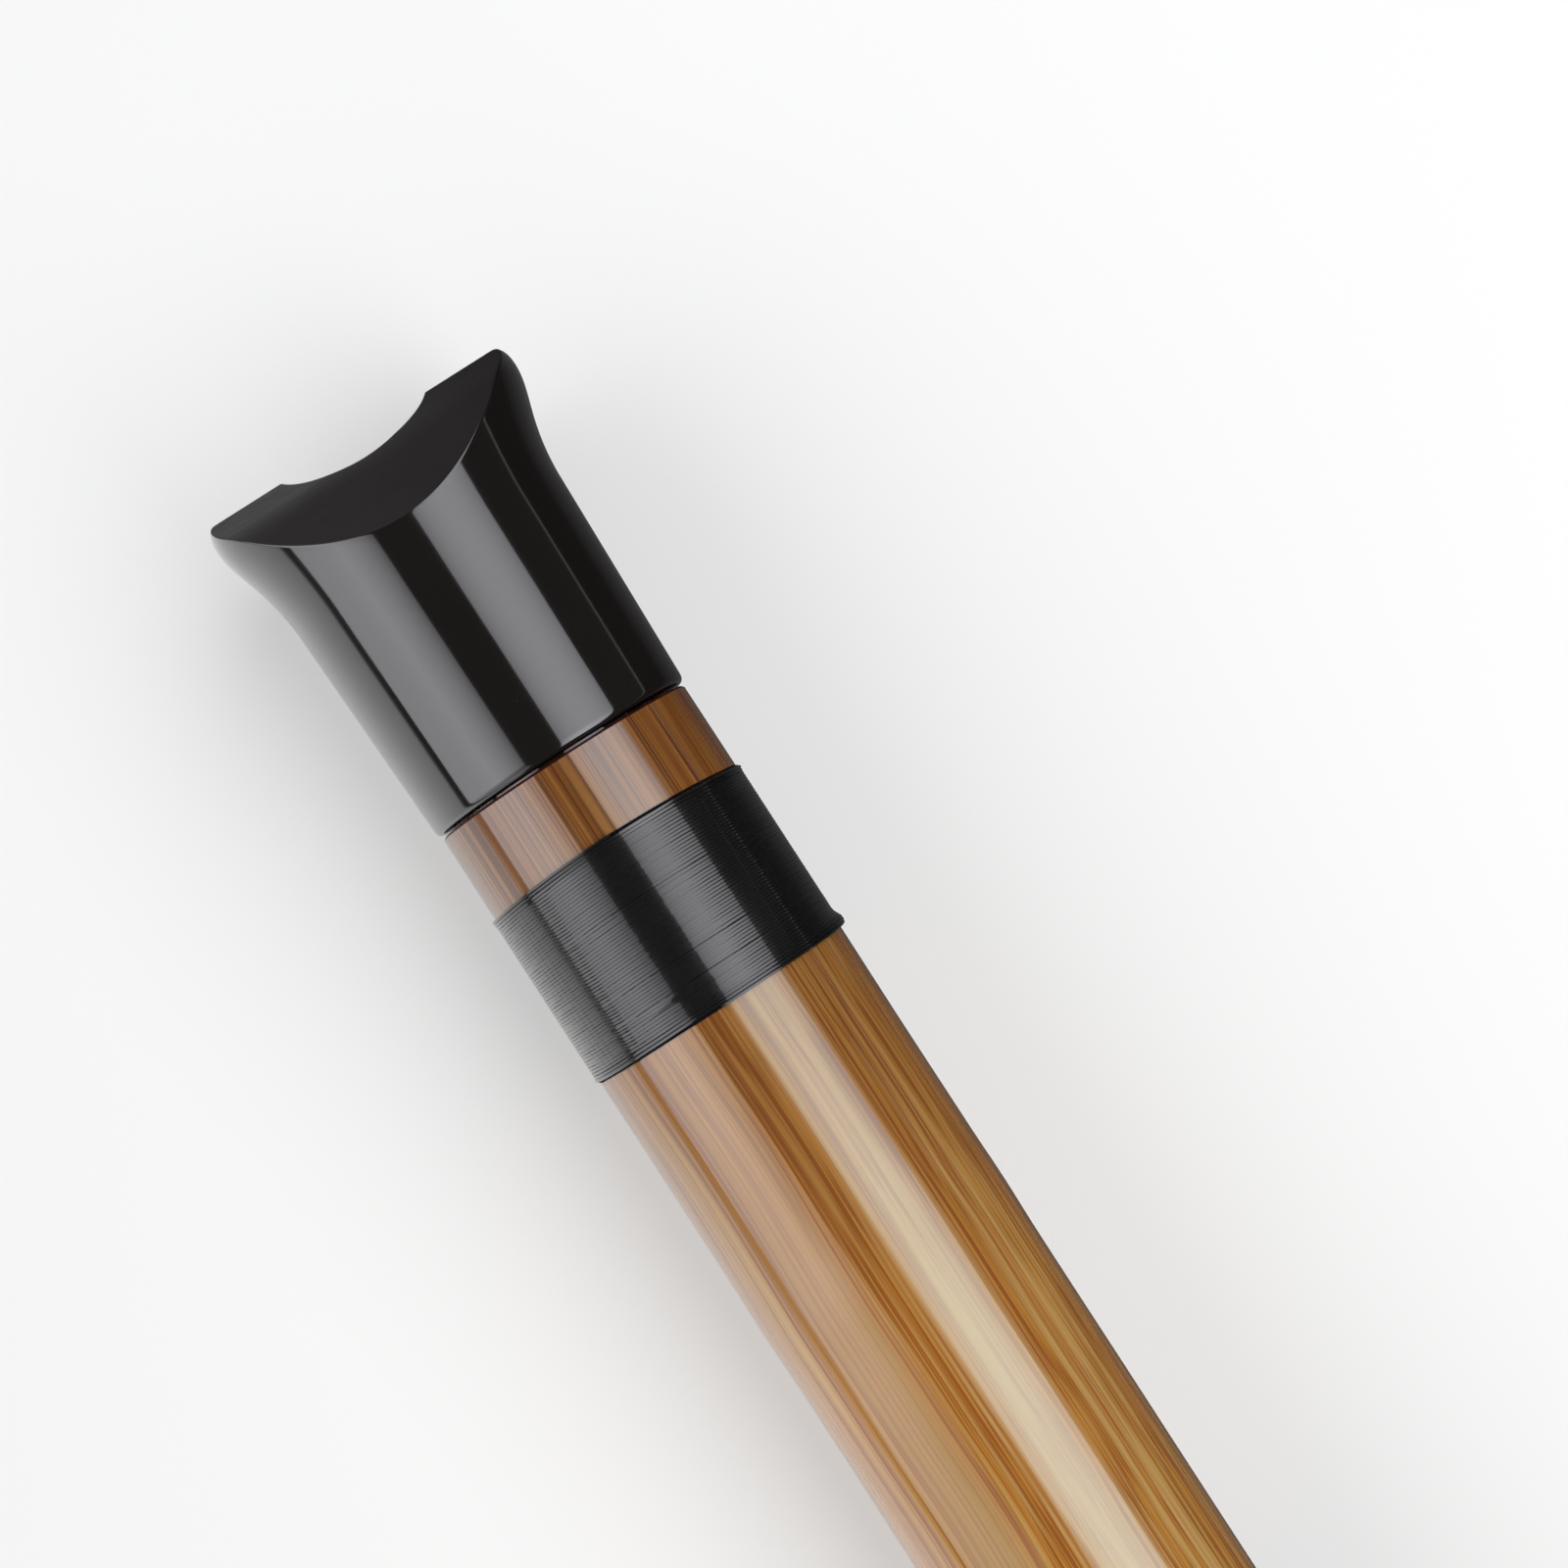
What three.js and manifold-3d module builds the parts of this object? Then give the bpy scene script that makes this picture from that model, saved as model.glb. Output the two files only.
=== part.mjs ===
// A bamboo shakuhachi in two sections, with a flared black mouthpiece and black thread bindings.
// Millimetres. It lies on z = 0 with its blowing edge and its four front holes up.
// X runs from the mouthpiece to the foot, and x = 0 is half way along the flute.
// Each piece is built in the flute's own frame: y is the station, counted from the flat top
// of the mouthpiece, z is up and the bore's axis is y, and the last group lays the flute down.
import * as THREE from 'three';
import { mergeVertices } from 'three/addons/utils/BufferGeometryUtils.js';
import Module from 'manifold-3d';

const wasm = await Module();
wasm.setup();

// Whole flute
const fluteLength = 545;
const tubeDiameter = 32;
// The bore narrows to a throat below the last hole, as shares of the tube's diameter
const headBoreShare = 0.625;
const jointBoreShare = 0.5625;
const throatBoreShare = 0.51875;
const footBoreShare = 0.575;
// Stations as shares of the flute's length
const throatShare = 0.835;
const jointShare = 0.53;
const upperBindingShare = 0.3;

// Fits
const glueGap = 0.3;
const seamGap = 0.3;
const slidingGap = 0.3;
const cutOverrun = 4;

// Mouthpiece: a flared head on a spigot
const headLength = 42.5;
const rimStandOut = 3.75;
const rimDepth = 2.3;
const rimInset = 1.45;
const waistStandOut = 1.15;
const waistDepth = 15;
const headFootStep = 0.35;
const headFootBevel = 0.3;
const spigotWall = 2.2;
const spigotLength = 18;
const spigotLead = 0.8;
// Shares of the way from rim to waist that shape the concave flare
const flareStartShare = 0.26;
const flareEndShare = 0.465;
const flareSwellShare = 0.154;

// Utaguchi: an oblique face that cuts into the bore, and steepens just outside it
const faceStartShare = 0.35;
const innerFaceSlope = 28.5;
const outerFaceSlope = 51.5;
const faceBreakOffset = 0.6;
const faceRollRadius = 10;

// Chin rest: the back of the top falls away and is rolled at its rim
const chinSlope = 11;
const chinRollInset = 5.75;
const chinRollRadius = 6;
const chinRollEnd = 60;

// Middle joint
const tenonWall = 2.3;
const tenonRoot = 20;
const tenonReach = 20;
const tenonLead = 0.8;
const socketBottomGap = 0.6;
const lappingWidth = 12;
const lappingSetback = 4;
const lappingGroove = 0.9;
const lappingStandProud = 0.2;
const ringLength = 4;
const ringStandProud = 0.25;
const ringWall = 2;
const ringEdge = 0.4;

// Finger holes, laid out from the foot in shares of the flute's length, as a maker does
const holeDiameter = 10;
const lowestHoleShare = 0.22;
const holePitchShare = 0.1;
const thumbHoleRiseShare = 0.058;
const frontHoles = 4;

// Nodes of the bamboo: low swells that are left when they are sanded down
const nodeLength = 14;
const nodeHeight = 0.25;
const upperNodeShares = [0.2, 0.375];
const lowerNodeShares = [0.63, 0.82, 0.895];

// Bindings
const bandWidth = 23.2;
const bandHeight = 0.6;
const bandEdge = 0.3;
const seatDepth = 0.35;
const headBandStandoff = 10.1;
const jointBandWidth = 11.6;
const jointBandStandoff = 2;
const footMargin = 17;

// Thread of the binding next to the mouthpiece
const threadDiameter = 0.5;
const threadLoops = 24;
const loopSteps = 24;
const threadSides = 6;

// Facets
const headSides = 56;
const tubeSides = 40;
const holeSides = 20;
const curveSteps = 8;
const faceSteps = 6;
const nodeSteps = 4;

const tubeRadius = tubeDiameter / 2;
const headBoreRadius = tubeRadius * headBoreShare;
const jointBoreRadius = tubeRadius * jointBoreShare;
const throatBoreRadius = tubeRadius * throatBoreShare;
const footBoreRadius = tubeRadius * footBoreShare;
const seatRadius = tubeRadius - seatDepth;
const bandRadius = tubeRadius + bandHeight;
const rimRadius = tubeRadius + rimStandOut;
const waistRadius = tubeRadius + waistStandOut;
const spigotRadius = headBoreRadius + spigotWall;
const tenonRadius = jointBoreRadius + tenonWall;
const lappingRadius = tenonRadius + lappingStandProud;
const socketRadius = lappingRadius + slidingGap;
const ringRadius = tubeRadius + ringStandProud;
const ringInnerRadius = ringRadius - ringWall;
const rebateRadius = ringInnerRadius - glueGap;

const jointStation = fluteLength * jointShare;
const upperTubeStart = headLength + seamGap;
const lowerTubeStart = jointStation + seamGap;
const counterboreEnd = headLength + spigotLength + glueGap;
const tenonStart = jointStation - tenonRoot;
const tenonEnd = jointStation + tenonReach;
const tenonSeat = tenonStart - glueGap;
const socketEnd = tenonEnd + socketBottomGap;

const holePitch = fluteLength * holePitchShare;
const lowestHole = fluteLength * (1 - lowestHoleShare);
const topHole = lowestHole - holePitch * (frontHoles - 1);
const thumbHole = topHole - fluteLength * thumbHoleRiseShare;

const binding = (name, start, width) => ({ name, start, end: start + width });
const upperBindings = [
  binding('head_binding', headLength + headBandStandoff, bandWidth),
  binding('upper_binding', fluteLength * upperBindingShare, bandWidth),
  binding('upper_joint_binding', jointStation - ringLength - jointBandStandoff - jointBandWidth, jointBandWidth),
];
const lowerBindings = [
  binding('lower_joint_binding', lowerTubeStart + ringLength + jointBandStandoff, jointBandWidth),
  binding('lower_binding', lowestHole - (holePitch + bandWidth) / 2, bandWidth),
  binding('foot_binding', fluteLength - footMargin - bandWidth, bandWidth),
];

const radians = THREE.MathUtils.degToRad;

const resin = { color: 0x0b0b0c, roughness: 0.12, metalness: 0 };
const bamboo = { color: 0xb0702a, roughness: 0.22, metalness: 0 };
const lacquer = { color: 0x121112, roughness: 0.2, metalness: 0 };
const thread = { color: 0x17181a, roughness: 0.5, metalness: 0 };
const waxedThread = { color: 0xb9a27c, roughness: 0.8, metalness: 0 };

// A body turned about the bore's axis. The outline is [radius, station] points that close on
// themselves, taken towards the foot on the outside and back along the bore.
function turned(outline, sides) {
  const points = [...outline, outline[0]].map(([radius, station]) => new THREE.Vector2(radius, station));
  return new THREE.LatheGeometry(points, sides);
}

function toManifold(geometry) {
  const bare = geometry.clone();
  bare.deleteAttribute('normal');
  bare.deleteAttribute('uv');
  const merged = mergeVertices(bare);
  const vertProperties = new Float32Array(merged.attributes.position.array);
  const triVerts = new Uint32Array(merged.index.array);
  return new wasm.Manifold(new wasm.Mesh({ numProp: 3, vertProperties, triVerts }));
}

function fromManifold(solid) {
  const mesh = solid.getMesh();
  const geometry = new THREE.BufferGeometry();
  geometry.setAttribute('position', new THREE.BufferAttribute(new Float32Array(mesh.vertProperties), 3));
  geometry.setIndex(new THREE.BufferAttribute(new Uint32Array(mesh.triVerts), 1));
  const faceted = geometry.toNonIndexed();
  faceted.computeVertexNormals();
  return faceted;
}

function cut(body, cutters) {
  return fromManifold(cutters.reduce((left, cutter) => left.subtract(toManifold(cutter)), toManifold(body)));
}

function piece(name, geometry, finish) {
  const mesh = new THREE.Mesh(geometry, new THREE.MeshStandardMaterial(finish));
  mesh.name = name;
  return mesh;
}

// Outside of the mouthpiece, from the edge of the flat top to the foot of the head
function headOutline() {
  const span = waistDepth - rimDepth;
  const path = new THREE.Path();
  path.moveTo(rimRadius - rimInset, 0);
  path.quadraticCurveTo(rimRadius, 0, rimRadius, rimDepth);
  path.bezierCurveTo(
    rimRadius, rimDepth + span * flareStartShare,
    waistRadius + (rimRadius - waistRadius) * flareSwellShare, rimDepth + span * flareEndShare,
    waistRadius, waistDepth,
  );
  return path.getPoints(curveSteps).map((point) => [point.x, point.y]);
}

// Everything in front of the oblique face, as a prism across the flute. Its profile is drawn as
// [height above the axis, station]: the inner slope, a roll over the break, and the outer slope.
function utaguchiCutter() {
  const start = headBoreRadius * faceStartShare;
  const breakHeight = headBoreRadius + faceBreakOffset;
  const breakDepth = (breakHeight - start) * Math.tan(radians(innerFaceSlope));
  const tangent = faceRollRadius * Math.tan(radians(outerFaceSlope - innerFaceSlope) / 2);
  const rollHeight = breakHeight - tangent * Math.cos(radians(innerFaceSlope));
  const rollDepth = breakDepth - tangent * Math.sin(radians(innerFaceSlope));
  const reach = rimRadius + cutOverrun;
  const profile = new THREE.Shape();
  profile.moveTo(start, -cutOverrun);
  profile.lineTo(start, 0);
  profile.absarc(
    rollHeight - faceRollRadius * Math.sin(radians(innerFaceSlope)),
    rollDepth + faceRollRadius * Math.cos(radians(innerFaceSlope)),
    faceRollRadius, radians(innerFaceSlope - 90), radians(outerFaceSlope - 90), false,
  );
  profile.lineTo(reach, breakDepth + (reach - breakHeight) * Math.tan(radians(outerFaceSlope)));
  profile.lineTo(reach, -cutOverrun);
  return acrossTheFlute(profile, faceSteps);
}

// Everything behind the chin rest: a gentle slope that starts at the axis, rolled over at the rim
function chinCutter() {
  const rollAt = chinRollInset - rimRadius;
  const rollDepth = -rollAt * Math.tan(radians(chinSlope));
  const centreHeight = rollAt + chinRollRadius * Math.sin(radians(chinSlope));
  const centreDepth = rollDepth + chinRollRadius * Math.cos(radians(chinSlope));
  const rollEndHeight = centreHeight - chinRollRadius * Math.sin(radians(chinRollEnd));
  const rollEndDepth = centreDepth - chinRollRadius * Math.cos(radians(chinRollEnd));
  const reach = rimRadius + cutOverrun;
  const profile = new THREE.Shape();
  profile.moveTo(0, -cutOverrun);
  profile.lineTo(-reach, -cutOverrun);
  profile.lineTo(-reach, rollEndDepth + (reach + rollEndHeight) * Math.tan(radians(chinRollEnd)));
  profile.absarc(
    centreHeight, centreDepth, chinRollRadius,
    radians(-90 - chinRollEnd), radians(-90 - chinSlope), false,
  );
  profile.lineTo(0, 0);
  return acrossTheFlute(profile, curveSteps);
}

// Extrudes a [height, station] profile across the flute, past both sides of the rim
function acrossTheFlute(profile, curveSegments) {
  const width = 2 * (rimRadius + cutOverrun);
  const prism = new THREE.ExtrudeGeometry(profile, { depth: width, bevelEnabled: false, curveSegments });
  prism.translate(0, 0, -width / 2);
  const turn = new THREE.Matrix4().makeBasis(
    new THREE.Vector3(0, 0, 1),
    new THREE.Vector3(0, 1, 0),
    new THREE.Vector3(-1, 0, 0),
  );
  return prism.applyMatrix4(turn);
}

function mouthpiece() {
  const footRadius = tubeRadius + headFootStep;
  const spigotEnd = headLength + spigotLength;
  const body = turned([
    ...headOutline(),
    [footRadius, headLength - headFootBevel],
    [footRadius - headFootBevel, headLength],
    [spigotRadius, headLength],
    [spigotRadius, spigotEnd - spigotLead],
    [spigotRadius - spigotLead, spigotEnd],
    [headBoreRadius, spigotEnd],
    [headBoreRadius, 0],
  ], headSides);
  return piece('mouthpiece', cut(body, [utaguchiCutter(), chinCutter()]), resin);
}

// A shallow turned seat in the bamboo for a binding
const seatOutline = ({ start, end }) => [
  [tubeRadius, start - glueGap],
  [seatRadius, start - glueGap],
  [seatRadius, end + glueGap],
  [tubeRadius, end + glueGap],
];

// One node of the bamboo, a full wave of the cosine from the plain tube and back to it
function nodeOutline(station) {
  return Array.from({ length: nodeSteps + 1 }, (unused, step) => {
    const share = step / nodeSteps;
    const swell = (1 - Math.cos(2 * Math.PI * share)) / 2;
    return [tubeRadius + nodeHeight * swell, station + nodeLength * (share - 0.5)];
  });
}

// The seats and the nodes of one tube, in their order along it
function barkOutline(bindings, nodeShares) {
  const nodes = nodeShares.map((share) => nodeOutline(fluteLength * share));
  const stretches = [...bindings.map(seatOutline), ...nodes];
  return stretches.sort(([first], [second]) => first[1] - second[1]).flat();
}

// A finger hole's drill, from the bore's axis out through one wall; side is 1 for the front
function drill(station, side) {
  const length = tubeRadius + cutOverrun;
  const hole = new THREE.CylinderGeometry(holeDiameter / 2, holeDiameter / 2, length, holeSides);
  hole.rotateX(Math.PI / 2);
  hole.translate(0, station, side * length / 2);
  return hole;
}

const frontHoleStation = (index) => lowestHole - holePitch * index;

function upperTube() {
  const rebateStart = jointStation - ringLength - glueGap;
  const body = turned([
    [tubeRadius, upperTubeStart],
    ...barkOutline(upperBindings, upperNodeShares),
    [tubeRadius, rebateStart],
    [rebateRadius, rebateStart],
    [rebateRadius, jointStation],
    [tenonRadius + glueGap, jointStation],
    [tenonRadius + glueGap, tenonSeat],
    [jointBoreRadius, tenonSeat],
    [headBoreRadius, counterboreEnd],
    [spigotRadius + glueGap, counterboreEnd],
    [spigotRadius + glueGap, upperTubeStart],
  ], tubeSides);
  const holes = [drill(frontHoleStation(frontHoles - 1), 1), drill(thumbHole, -1)];
  return piece('upper_tube', cut(body, holes), bamboo);
}

function lowerTube() {
  const rebateEnd = lowerTubeStart + ringLength + glueGap;
  const body = turned([
    [rebateRadius, lowerTubeStart],
    [rebateRadius, rebateEnd],
    [tubeRadius, rebateEnd],
    ...barkOutline(lowerBindings, lowerNodeShares),
    [tubeRadius, fluteLength],
    [footBoreRadius, fluteLength],
    [throatBoreRadius, fluteLength * throatShare],
    [jointBoreRadius, socketEnd],
    [socketRadius, socketEnd],
    [socketRadius, lowerTubeStart],
  ], tubeSides);
  const holes = [];
  for (let index = 0; index < frontHoles - 1; index += 1) {
    holes.push(drill(frontHoleStation(index), 1));
  }
  return piece('lower_tube', cut(body, holes), bamboo);
}

const lappingEnd = tenonEnd - lappingSetback;
const lappingStart = lappingEnd - lappingWidth;

function jointTenon() {
  const grooveRadius = tenonRadius - lappingGroove;
  return piece('joint_tenon', turned([
    [tenonRadius, tenonStart],
    [tenonRadius, lappingStart - glueGap],
    [grooveRadius, lappingStart - glueGap],
    [grooveRadius, lappingEnd + glueGap],
    [tenonRadius, lappingEnd + glueGap],
    [tenonRadius, tenonEnd - tenonLead],
    [tenonRadius - tenonLead, tenonEnd],
    [jointBoreRadius, tenonEnd],
    [jointBoreRadius, tenonStart],
  ], tubeSides), resin);
}

// A band with its outer corners taken off
function band(inner, outer, start, end, edge) {
  return turned([
    [outer - edge, start],
    [outer, start + edge],
    [outer, end - edge],
    [outer - edge, end],
    [inner, end],
    [inner, start],
  ], tubeSides);
}

function tenonLapping() {
  const inner = tenonRadius - lappingGroove + glueGap;
  return piece('tenon_lapping', band(inner, lappingRadius, lappingStart, lappingEnd, bandEdge), waxedThread);
}

function jointRings() {
  const upperStart = jointStation - ringLength;
  const lowerEnd = lowerTubeStart + ringLength;
  const upper = band(ringInnerRadius, ringRadius, upperStart, jointStation, ringEdge);
  const lower = band(ringInnerRadius, ringRadius, lowerTubeStart, lowerEnd, ringEdge);
  return [piece('upper_joint_ring', upper, lacquer), piece('lower_joint_ring', lower, lacquer)];
}

function plainBinding({ name, start, end }) {
  return piece(name, band(seatRadius + glueGap, bandRadius, start, end, bandEdge), thread);
}

// Middle line of the thread: one helix over the seat, and a straight run at both ends,
// one thread diameter long, that lies along the last turn. Each step has its own frame.
function threadPath({ start, end }) {
  const threadRadius = threadDiameter / 2;
  const stepAngle = 2 * Math.PI / loopSteps;
  const chordSag = (seatRadius + glueGap + threadDiameter) * (1 - Math.cos(stepAngle / 2));
  const radius = seatRadius + glueGap + threadRadius + chordSag;
  const rise = (end - start - threadDiameter) / (threadLoops * loopSteps);
  const steps = [];
  for (let step = 0; step <= threadLoops * loopSteps; step += 1) {
    const angle = step * stepAngle;
    const out = new THREE.Vector3(Math.cos(angle), 0, Math.sin(angle));
    const along = new THREE.Vector3(-Math.sin(angle), rise / (radius * stepAngle), Math.cos(angle)).normalize();
    const centre = out.clone().multiplyScalar(radius).setY(start + threadRadius + rise * step);
    steps.push({ centre, out, along });
  }
  const first = steps[0];
  const last = steps[steps.length - 1];
  const lead = { ...first, centre: first.centre.clone().addScaledVector(first.along, -threadDiameter) };
  const tail = { ...last, centre: last.centre.clone().addScaledVector(last.along, threadDiameter) };
  return [lead, ...steps, tail];
}

// Six corners round each step of the thread, two of them to the sides
function threadRings(path) {
  return path.map(({ centre, out, along }) => {
    const side = new THREE.Vector3().crossVectors(out, along);
    return Array.from({ length: threadSides }, (unused, corner) => {
      const angle = corner * 2 * Math.PI / threadSides;
      return centre.clone()
        .addScaledVector(side, Math.cos(angle) * threadDiameter / 2)
        .addScaledVector(out, Math.sin(angle) * threadDiameter / 2);
    });
  });
}

// Joins the rings into one closed tube, with a fan over each end
function tubeFromRings(rings) {
  const corners = rings[0].length;
  const index = [];
  for (let ring = 0; ring + 1 < rings.length; ring += 1) {
    for (let corner = 0; corner < corners; corner += 1) {
      const here = ring * corners + corner;
      const next = ring * corners + (corner + 1) % corners;
      index.push(here, next, here + corners, next, next + corners, here + corners);
    }
  }
  const lastRing = (rings.length - 1) * corners;
  for (let corner = 1; corner + 1 < corners; corner += 1) {
    index.push(0, corner + 1, corner, lastRing, lastRing + corner, lastRing + corner + 1);
  }
  const geometry = new THREE.BufferGeometry().setFromPoints(rings.flat());
  geometry.setIndex(index);
  const faceted = geometry.toNonIndexed();
  faceted.computeVertexNormals();
  return faceted;
}

// The least distance between the thread's corners more than half a turn apart
function leastThreadGap(rings) {
  const apart = loopSteps / 2;
  let least = Infinity;
  for (let first = 0; first < rings.length; first += 1) {
    const furthest = Math.min(rings.length - 1, first + loopSteps + apart);
    for (let second = first + apart; second <= furthest; second += 1) {
      for (const corner of rings[first]) {
        for (const other of rings[second]) {
          least = Math.min(least, corner.distanceTo(other));
        }
      }
    }
  }
  return least;
}

function woundBinding(place) {
  const rings = threadRings(threadPath(place));
  console.log(`${place.name}: ${threadLoops} turns, least gap between turns ${leastThreadGap(rings).toFixed(3)} mm`);
  return piece(place.name, tubeFromRings(rings), thread);
}

const [headBinding, ...upperBands] = upperBindings;

const upperSection = new THREE.Group();
upperSection.add(mouthpiece(), upperTube(), jointTenon(), tenonLapping(), woundBinding(headBinding));
upperSection.add(...upperBands.map(plainBinding));

const lowerSection = new THREE.Group();
lowerSection.add(lowerTube(), ...lowerBindings.map(plainBinding));

const [upperRing, lowerRing] = jointRings();
upperSection.add(upperRing);
lowerSection.add(lowerRing);

// Laid down: the station runs along X, and the lowest point of the chin rest touches z = 0
const flute = new THREE.Group();
flute.add(upperSection, lowerSection);
flute.rotation.z = -Math.PI / 2;
flute.position.x = -fluteLength / 2;
flute.position.z = -new THREE.Box3().setFromObject(flute).min.z;

const model = new THREE.Group();
model.add(flute);

export default model;
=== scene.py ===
# A bamboo shakuhachi in two sections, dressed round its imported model.
# Metres. The flute lies along X with its head at the low end and its blowing edge up.
# A station is a distance along the flute, counted from the flat top of the mouthpiece.
import math

import bmesh
import bpy
from mathutils import Matrix, Vector, noise


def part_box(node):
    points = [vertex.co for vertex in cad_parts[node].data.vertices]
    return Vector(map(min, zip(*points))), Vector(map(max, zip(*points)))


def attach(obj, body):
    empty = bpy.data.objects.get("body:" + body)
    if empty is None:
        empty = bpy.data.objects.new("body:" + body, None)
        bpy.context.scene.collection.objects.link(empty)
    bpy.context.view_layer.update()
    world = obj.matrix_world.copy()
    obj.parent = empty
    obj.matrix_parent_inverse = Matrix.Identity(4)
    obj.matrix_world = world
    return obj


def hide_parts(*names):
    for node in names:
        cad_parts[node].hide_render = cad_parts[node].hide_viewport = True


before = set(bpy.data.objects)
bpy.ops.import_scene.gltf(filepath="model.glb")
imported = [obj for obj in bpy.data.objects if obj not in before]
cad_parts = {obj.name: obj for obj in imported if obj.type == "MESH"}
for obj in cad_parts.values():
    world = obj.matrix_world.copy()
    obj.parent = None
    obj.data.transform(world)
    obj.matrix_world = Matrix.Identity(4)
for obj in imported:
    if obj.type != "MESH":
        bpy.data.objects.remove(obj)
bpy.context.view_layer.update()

# Whole flute. Bores are radii.
FLUTE_LENGTH = 0.545
TUBE_RADIUS = 0.016
HEAD_BORE = 0.010
JOINT_BORE = 0.009
THROAT_BORE = 0.0083
FOOT_BORE = 0.0092
THROAT_STATION = 0.455075
GLUE_GAP = 0.0003
SEAM_GAP = 0.0003

# Mouthpiece
HEAD_LENGTH = 0.0425
RIM_RADIUS = 0.01975
RIM_DEPTH = 0.0023
RIM_INSET = 0.00145
WAIST_RADIUS = 0.01715
WAIST_DEPTH = 0.015
HEAD_FOOT_RADIUS = 0.01635
HEAD_FOOT_ROUND = 0.0010
SPIGOT_RADIUS = 0.0122
SPIGOT_LENGTH = 0.018
SPIGOT_LEAD = 0.0008
SPIGOT_SHOULDER = 0.001
FLARE_SHARES = (0.26, 0.154, 0.465)
FACE_START = 0.0035
FACE_START_ROUND = 0.0012
INNER_FACE_SLOPE = math.radians(28.5)
OUTER_FACE_SLOPE = math.radians(51.5)
FACE_BREAK = 0.0106
FACE_ROLL_RADIUS = 0.010
CHIN_SLOPE = math.radians(11)
CHIN_ROLL_INSET = 0.00575
CHIN_ROLL_RADIUS = 0.006
CHIN_ROLL_END = math.radians(60)
CUT_EDGE = 0.00028
BORE_EDGE = 0.00014
EDGE_SUPPORT = 0.00006

# Middle joint
JOINT_STATION = 0.28885
TENON_RADIUS = 0.0113
TENON_ROOT = 0.020
TENON_REACH = 0.020
TENON_LEAD = 0.0008
SOCKET_RADIUS = 0.0118
SOCKET_BOTTOM_GAP = 0.0006
LAPPING_WIDTH = 0.012
LAPPING_SETBACK = 0.004
LAPPING_GROOVE = 0.0009
LAPPING_RADIUS = 0.0115
LAPPING_TURNS = 36
RING_LENGTH = 0.004
RING_RADIUS = 0.01625
RING_WALL = 0.002
RING_EDGE = 0.0006

# Finger holes: stations, and 1 for the front or -1 for the back
HOLE_RADIUS = 0.005
HOLE_EDGE = 0.0005
UPPER_HOLES = ((0.2616, 1), (0.22999, -1))
LOWER_HOLES = ((0.3161, 1), (0.3706, 1), (0.4251, 1))

# Drill of a finger hole: the turn of its rolled mouth in degrees, how far that flares on out
# and up, and the drill's top, the foot of its mouth and its tip
HOLE_ROLL_START = 15
HOLE_ROLL_TURN = 75
DRILL_FLARE = (0.0007, 0.00019)
DRILL_TOP = 0.004
DRILL_COLLAR = 0.0015
DRILL_DEPTH = 0.012

# Bamboo: nodes as stations and how far each swells, its edges and its unevenness
NODE_LENGTH = 0.014
NODES = (
    (0.109, 0.00008),
    (0.204375, 0.00025),
    (0.34335, 0.00025),
    (0.4469, 0.00025),
    (0.487775, 0.00025),
)
HEAD_CHAMFER = 0.00028
FOOT_CHAMFER = 0.0005
UNEVENNESS = 0.00010
WAVES_ALONG = 36
WAVES_ROUND = 1.1

# Which faces and corners of a tube are its sawn ends, hole walls, bore and outside
END_FACE_DEPTH = 0.0003
HOLE_WALL_SLACK = 0.00005
BORE_BELOW = 0.0015
OUTSIDE_WITHIN = 0.0009

# Bindings: name, start, end, number of turns
UPPER_BANDS = (
    ("head_binding", 0.0526, 0.07475, 56),
    ("upper_binding", 0.1635, 0.1867, 59),
    ("upper_joint_binding", 0.27125, 0.28285, 29),
)
LOWER_BANDS = (
    ("lower_joint_binding", 0.29515, 0.30675, 29),
    ("lower_binding", 0.38625, 0.40945, 59),
    ("foot_binding", 0.5048, 0.5280, 59),
)
START_BOW = 0.0009
END_BOW = 0.0004
SHARE_SLACK = 0.001
SEAT_DEPTH = 0.00035
BAND_RADIUS = 0.01634
FIRST_LOWER_SEED = 5
LAPPING_SEED = 11

# Thread: how much of its pitch it fills, how flat it is pressed, and where its flat top ends
# as a share of its half width, which is root 0.5 for a round thread
THREAD_FILL = 0.985
THREAD_FLAT = 0.36
LAPPING_FLAT = 0.9
END_FLAT = 0.85
THREAD_SHOULDER = 0.98
ROUND_SHOULDER = math.sqrt(0.5)
SHOULDER_FROM = 0.5
SHOULDER_TO = 0.9
# Turns at both ends that stand rounder and prouder than the rest, and their lip
END_TURNS = 3.5
LIP_HEIGHT = 0.00020
LIP_REACH = 0.0007
# Unevenness of the turns, how fast it changes from turn to turn and round the flute, and
# what shares of it a turn wanders and lifts
THREAD_UNEVEN = 0.00003
LAPPING_UNEVEN = 0.00004
SHIFT_RATE = 0.93
WANDER_RATE = 0.71
WANDER_SHARE = 0.6
LIFT_RATE = 1.31
LIFT_SHARE = 0.5
LIFT_OFFSET = 7
ROUND_RATE = 5
# Places where two turns stand apart, as shares of the turns, how far apart they stand, and
# over how many turns that comes in and fades
PARTING_SHARES = (0.325, 0.69, 0.81)
PARTING = 0.00011
PARTING_TURNS = 0.3
PARTING_FADE = 5
# The knot and the tucked end of the head binding
KNOT_ANGLE = math.radians(84)
KNOT_SPREAD = math.radians(17)
KNOT_HEIGHT = 0.00050
KNOT_SETBACK = 0.0009
KNOT_REACH = 0.0008
TUCK_ANGLE = math.radians(-18)
TUCK_SPREAD = math.radians(3)
TUCK_STATION = 0.0712
TUCK_REACH = 0.0003
TUCK_HEIGHT = 0.00016
# The layer of thread under the one that shows
LAYER_DEPTH = 0.00006
LAPPING_LAYER_DEPTH = 0.00018
LAYER_INSET = 0.0001
LAYER_CLEARANCE = 0.00005

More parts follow.
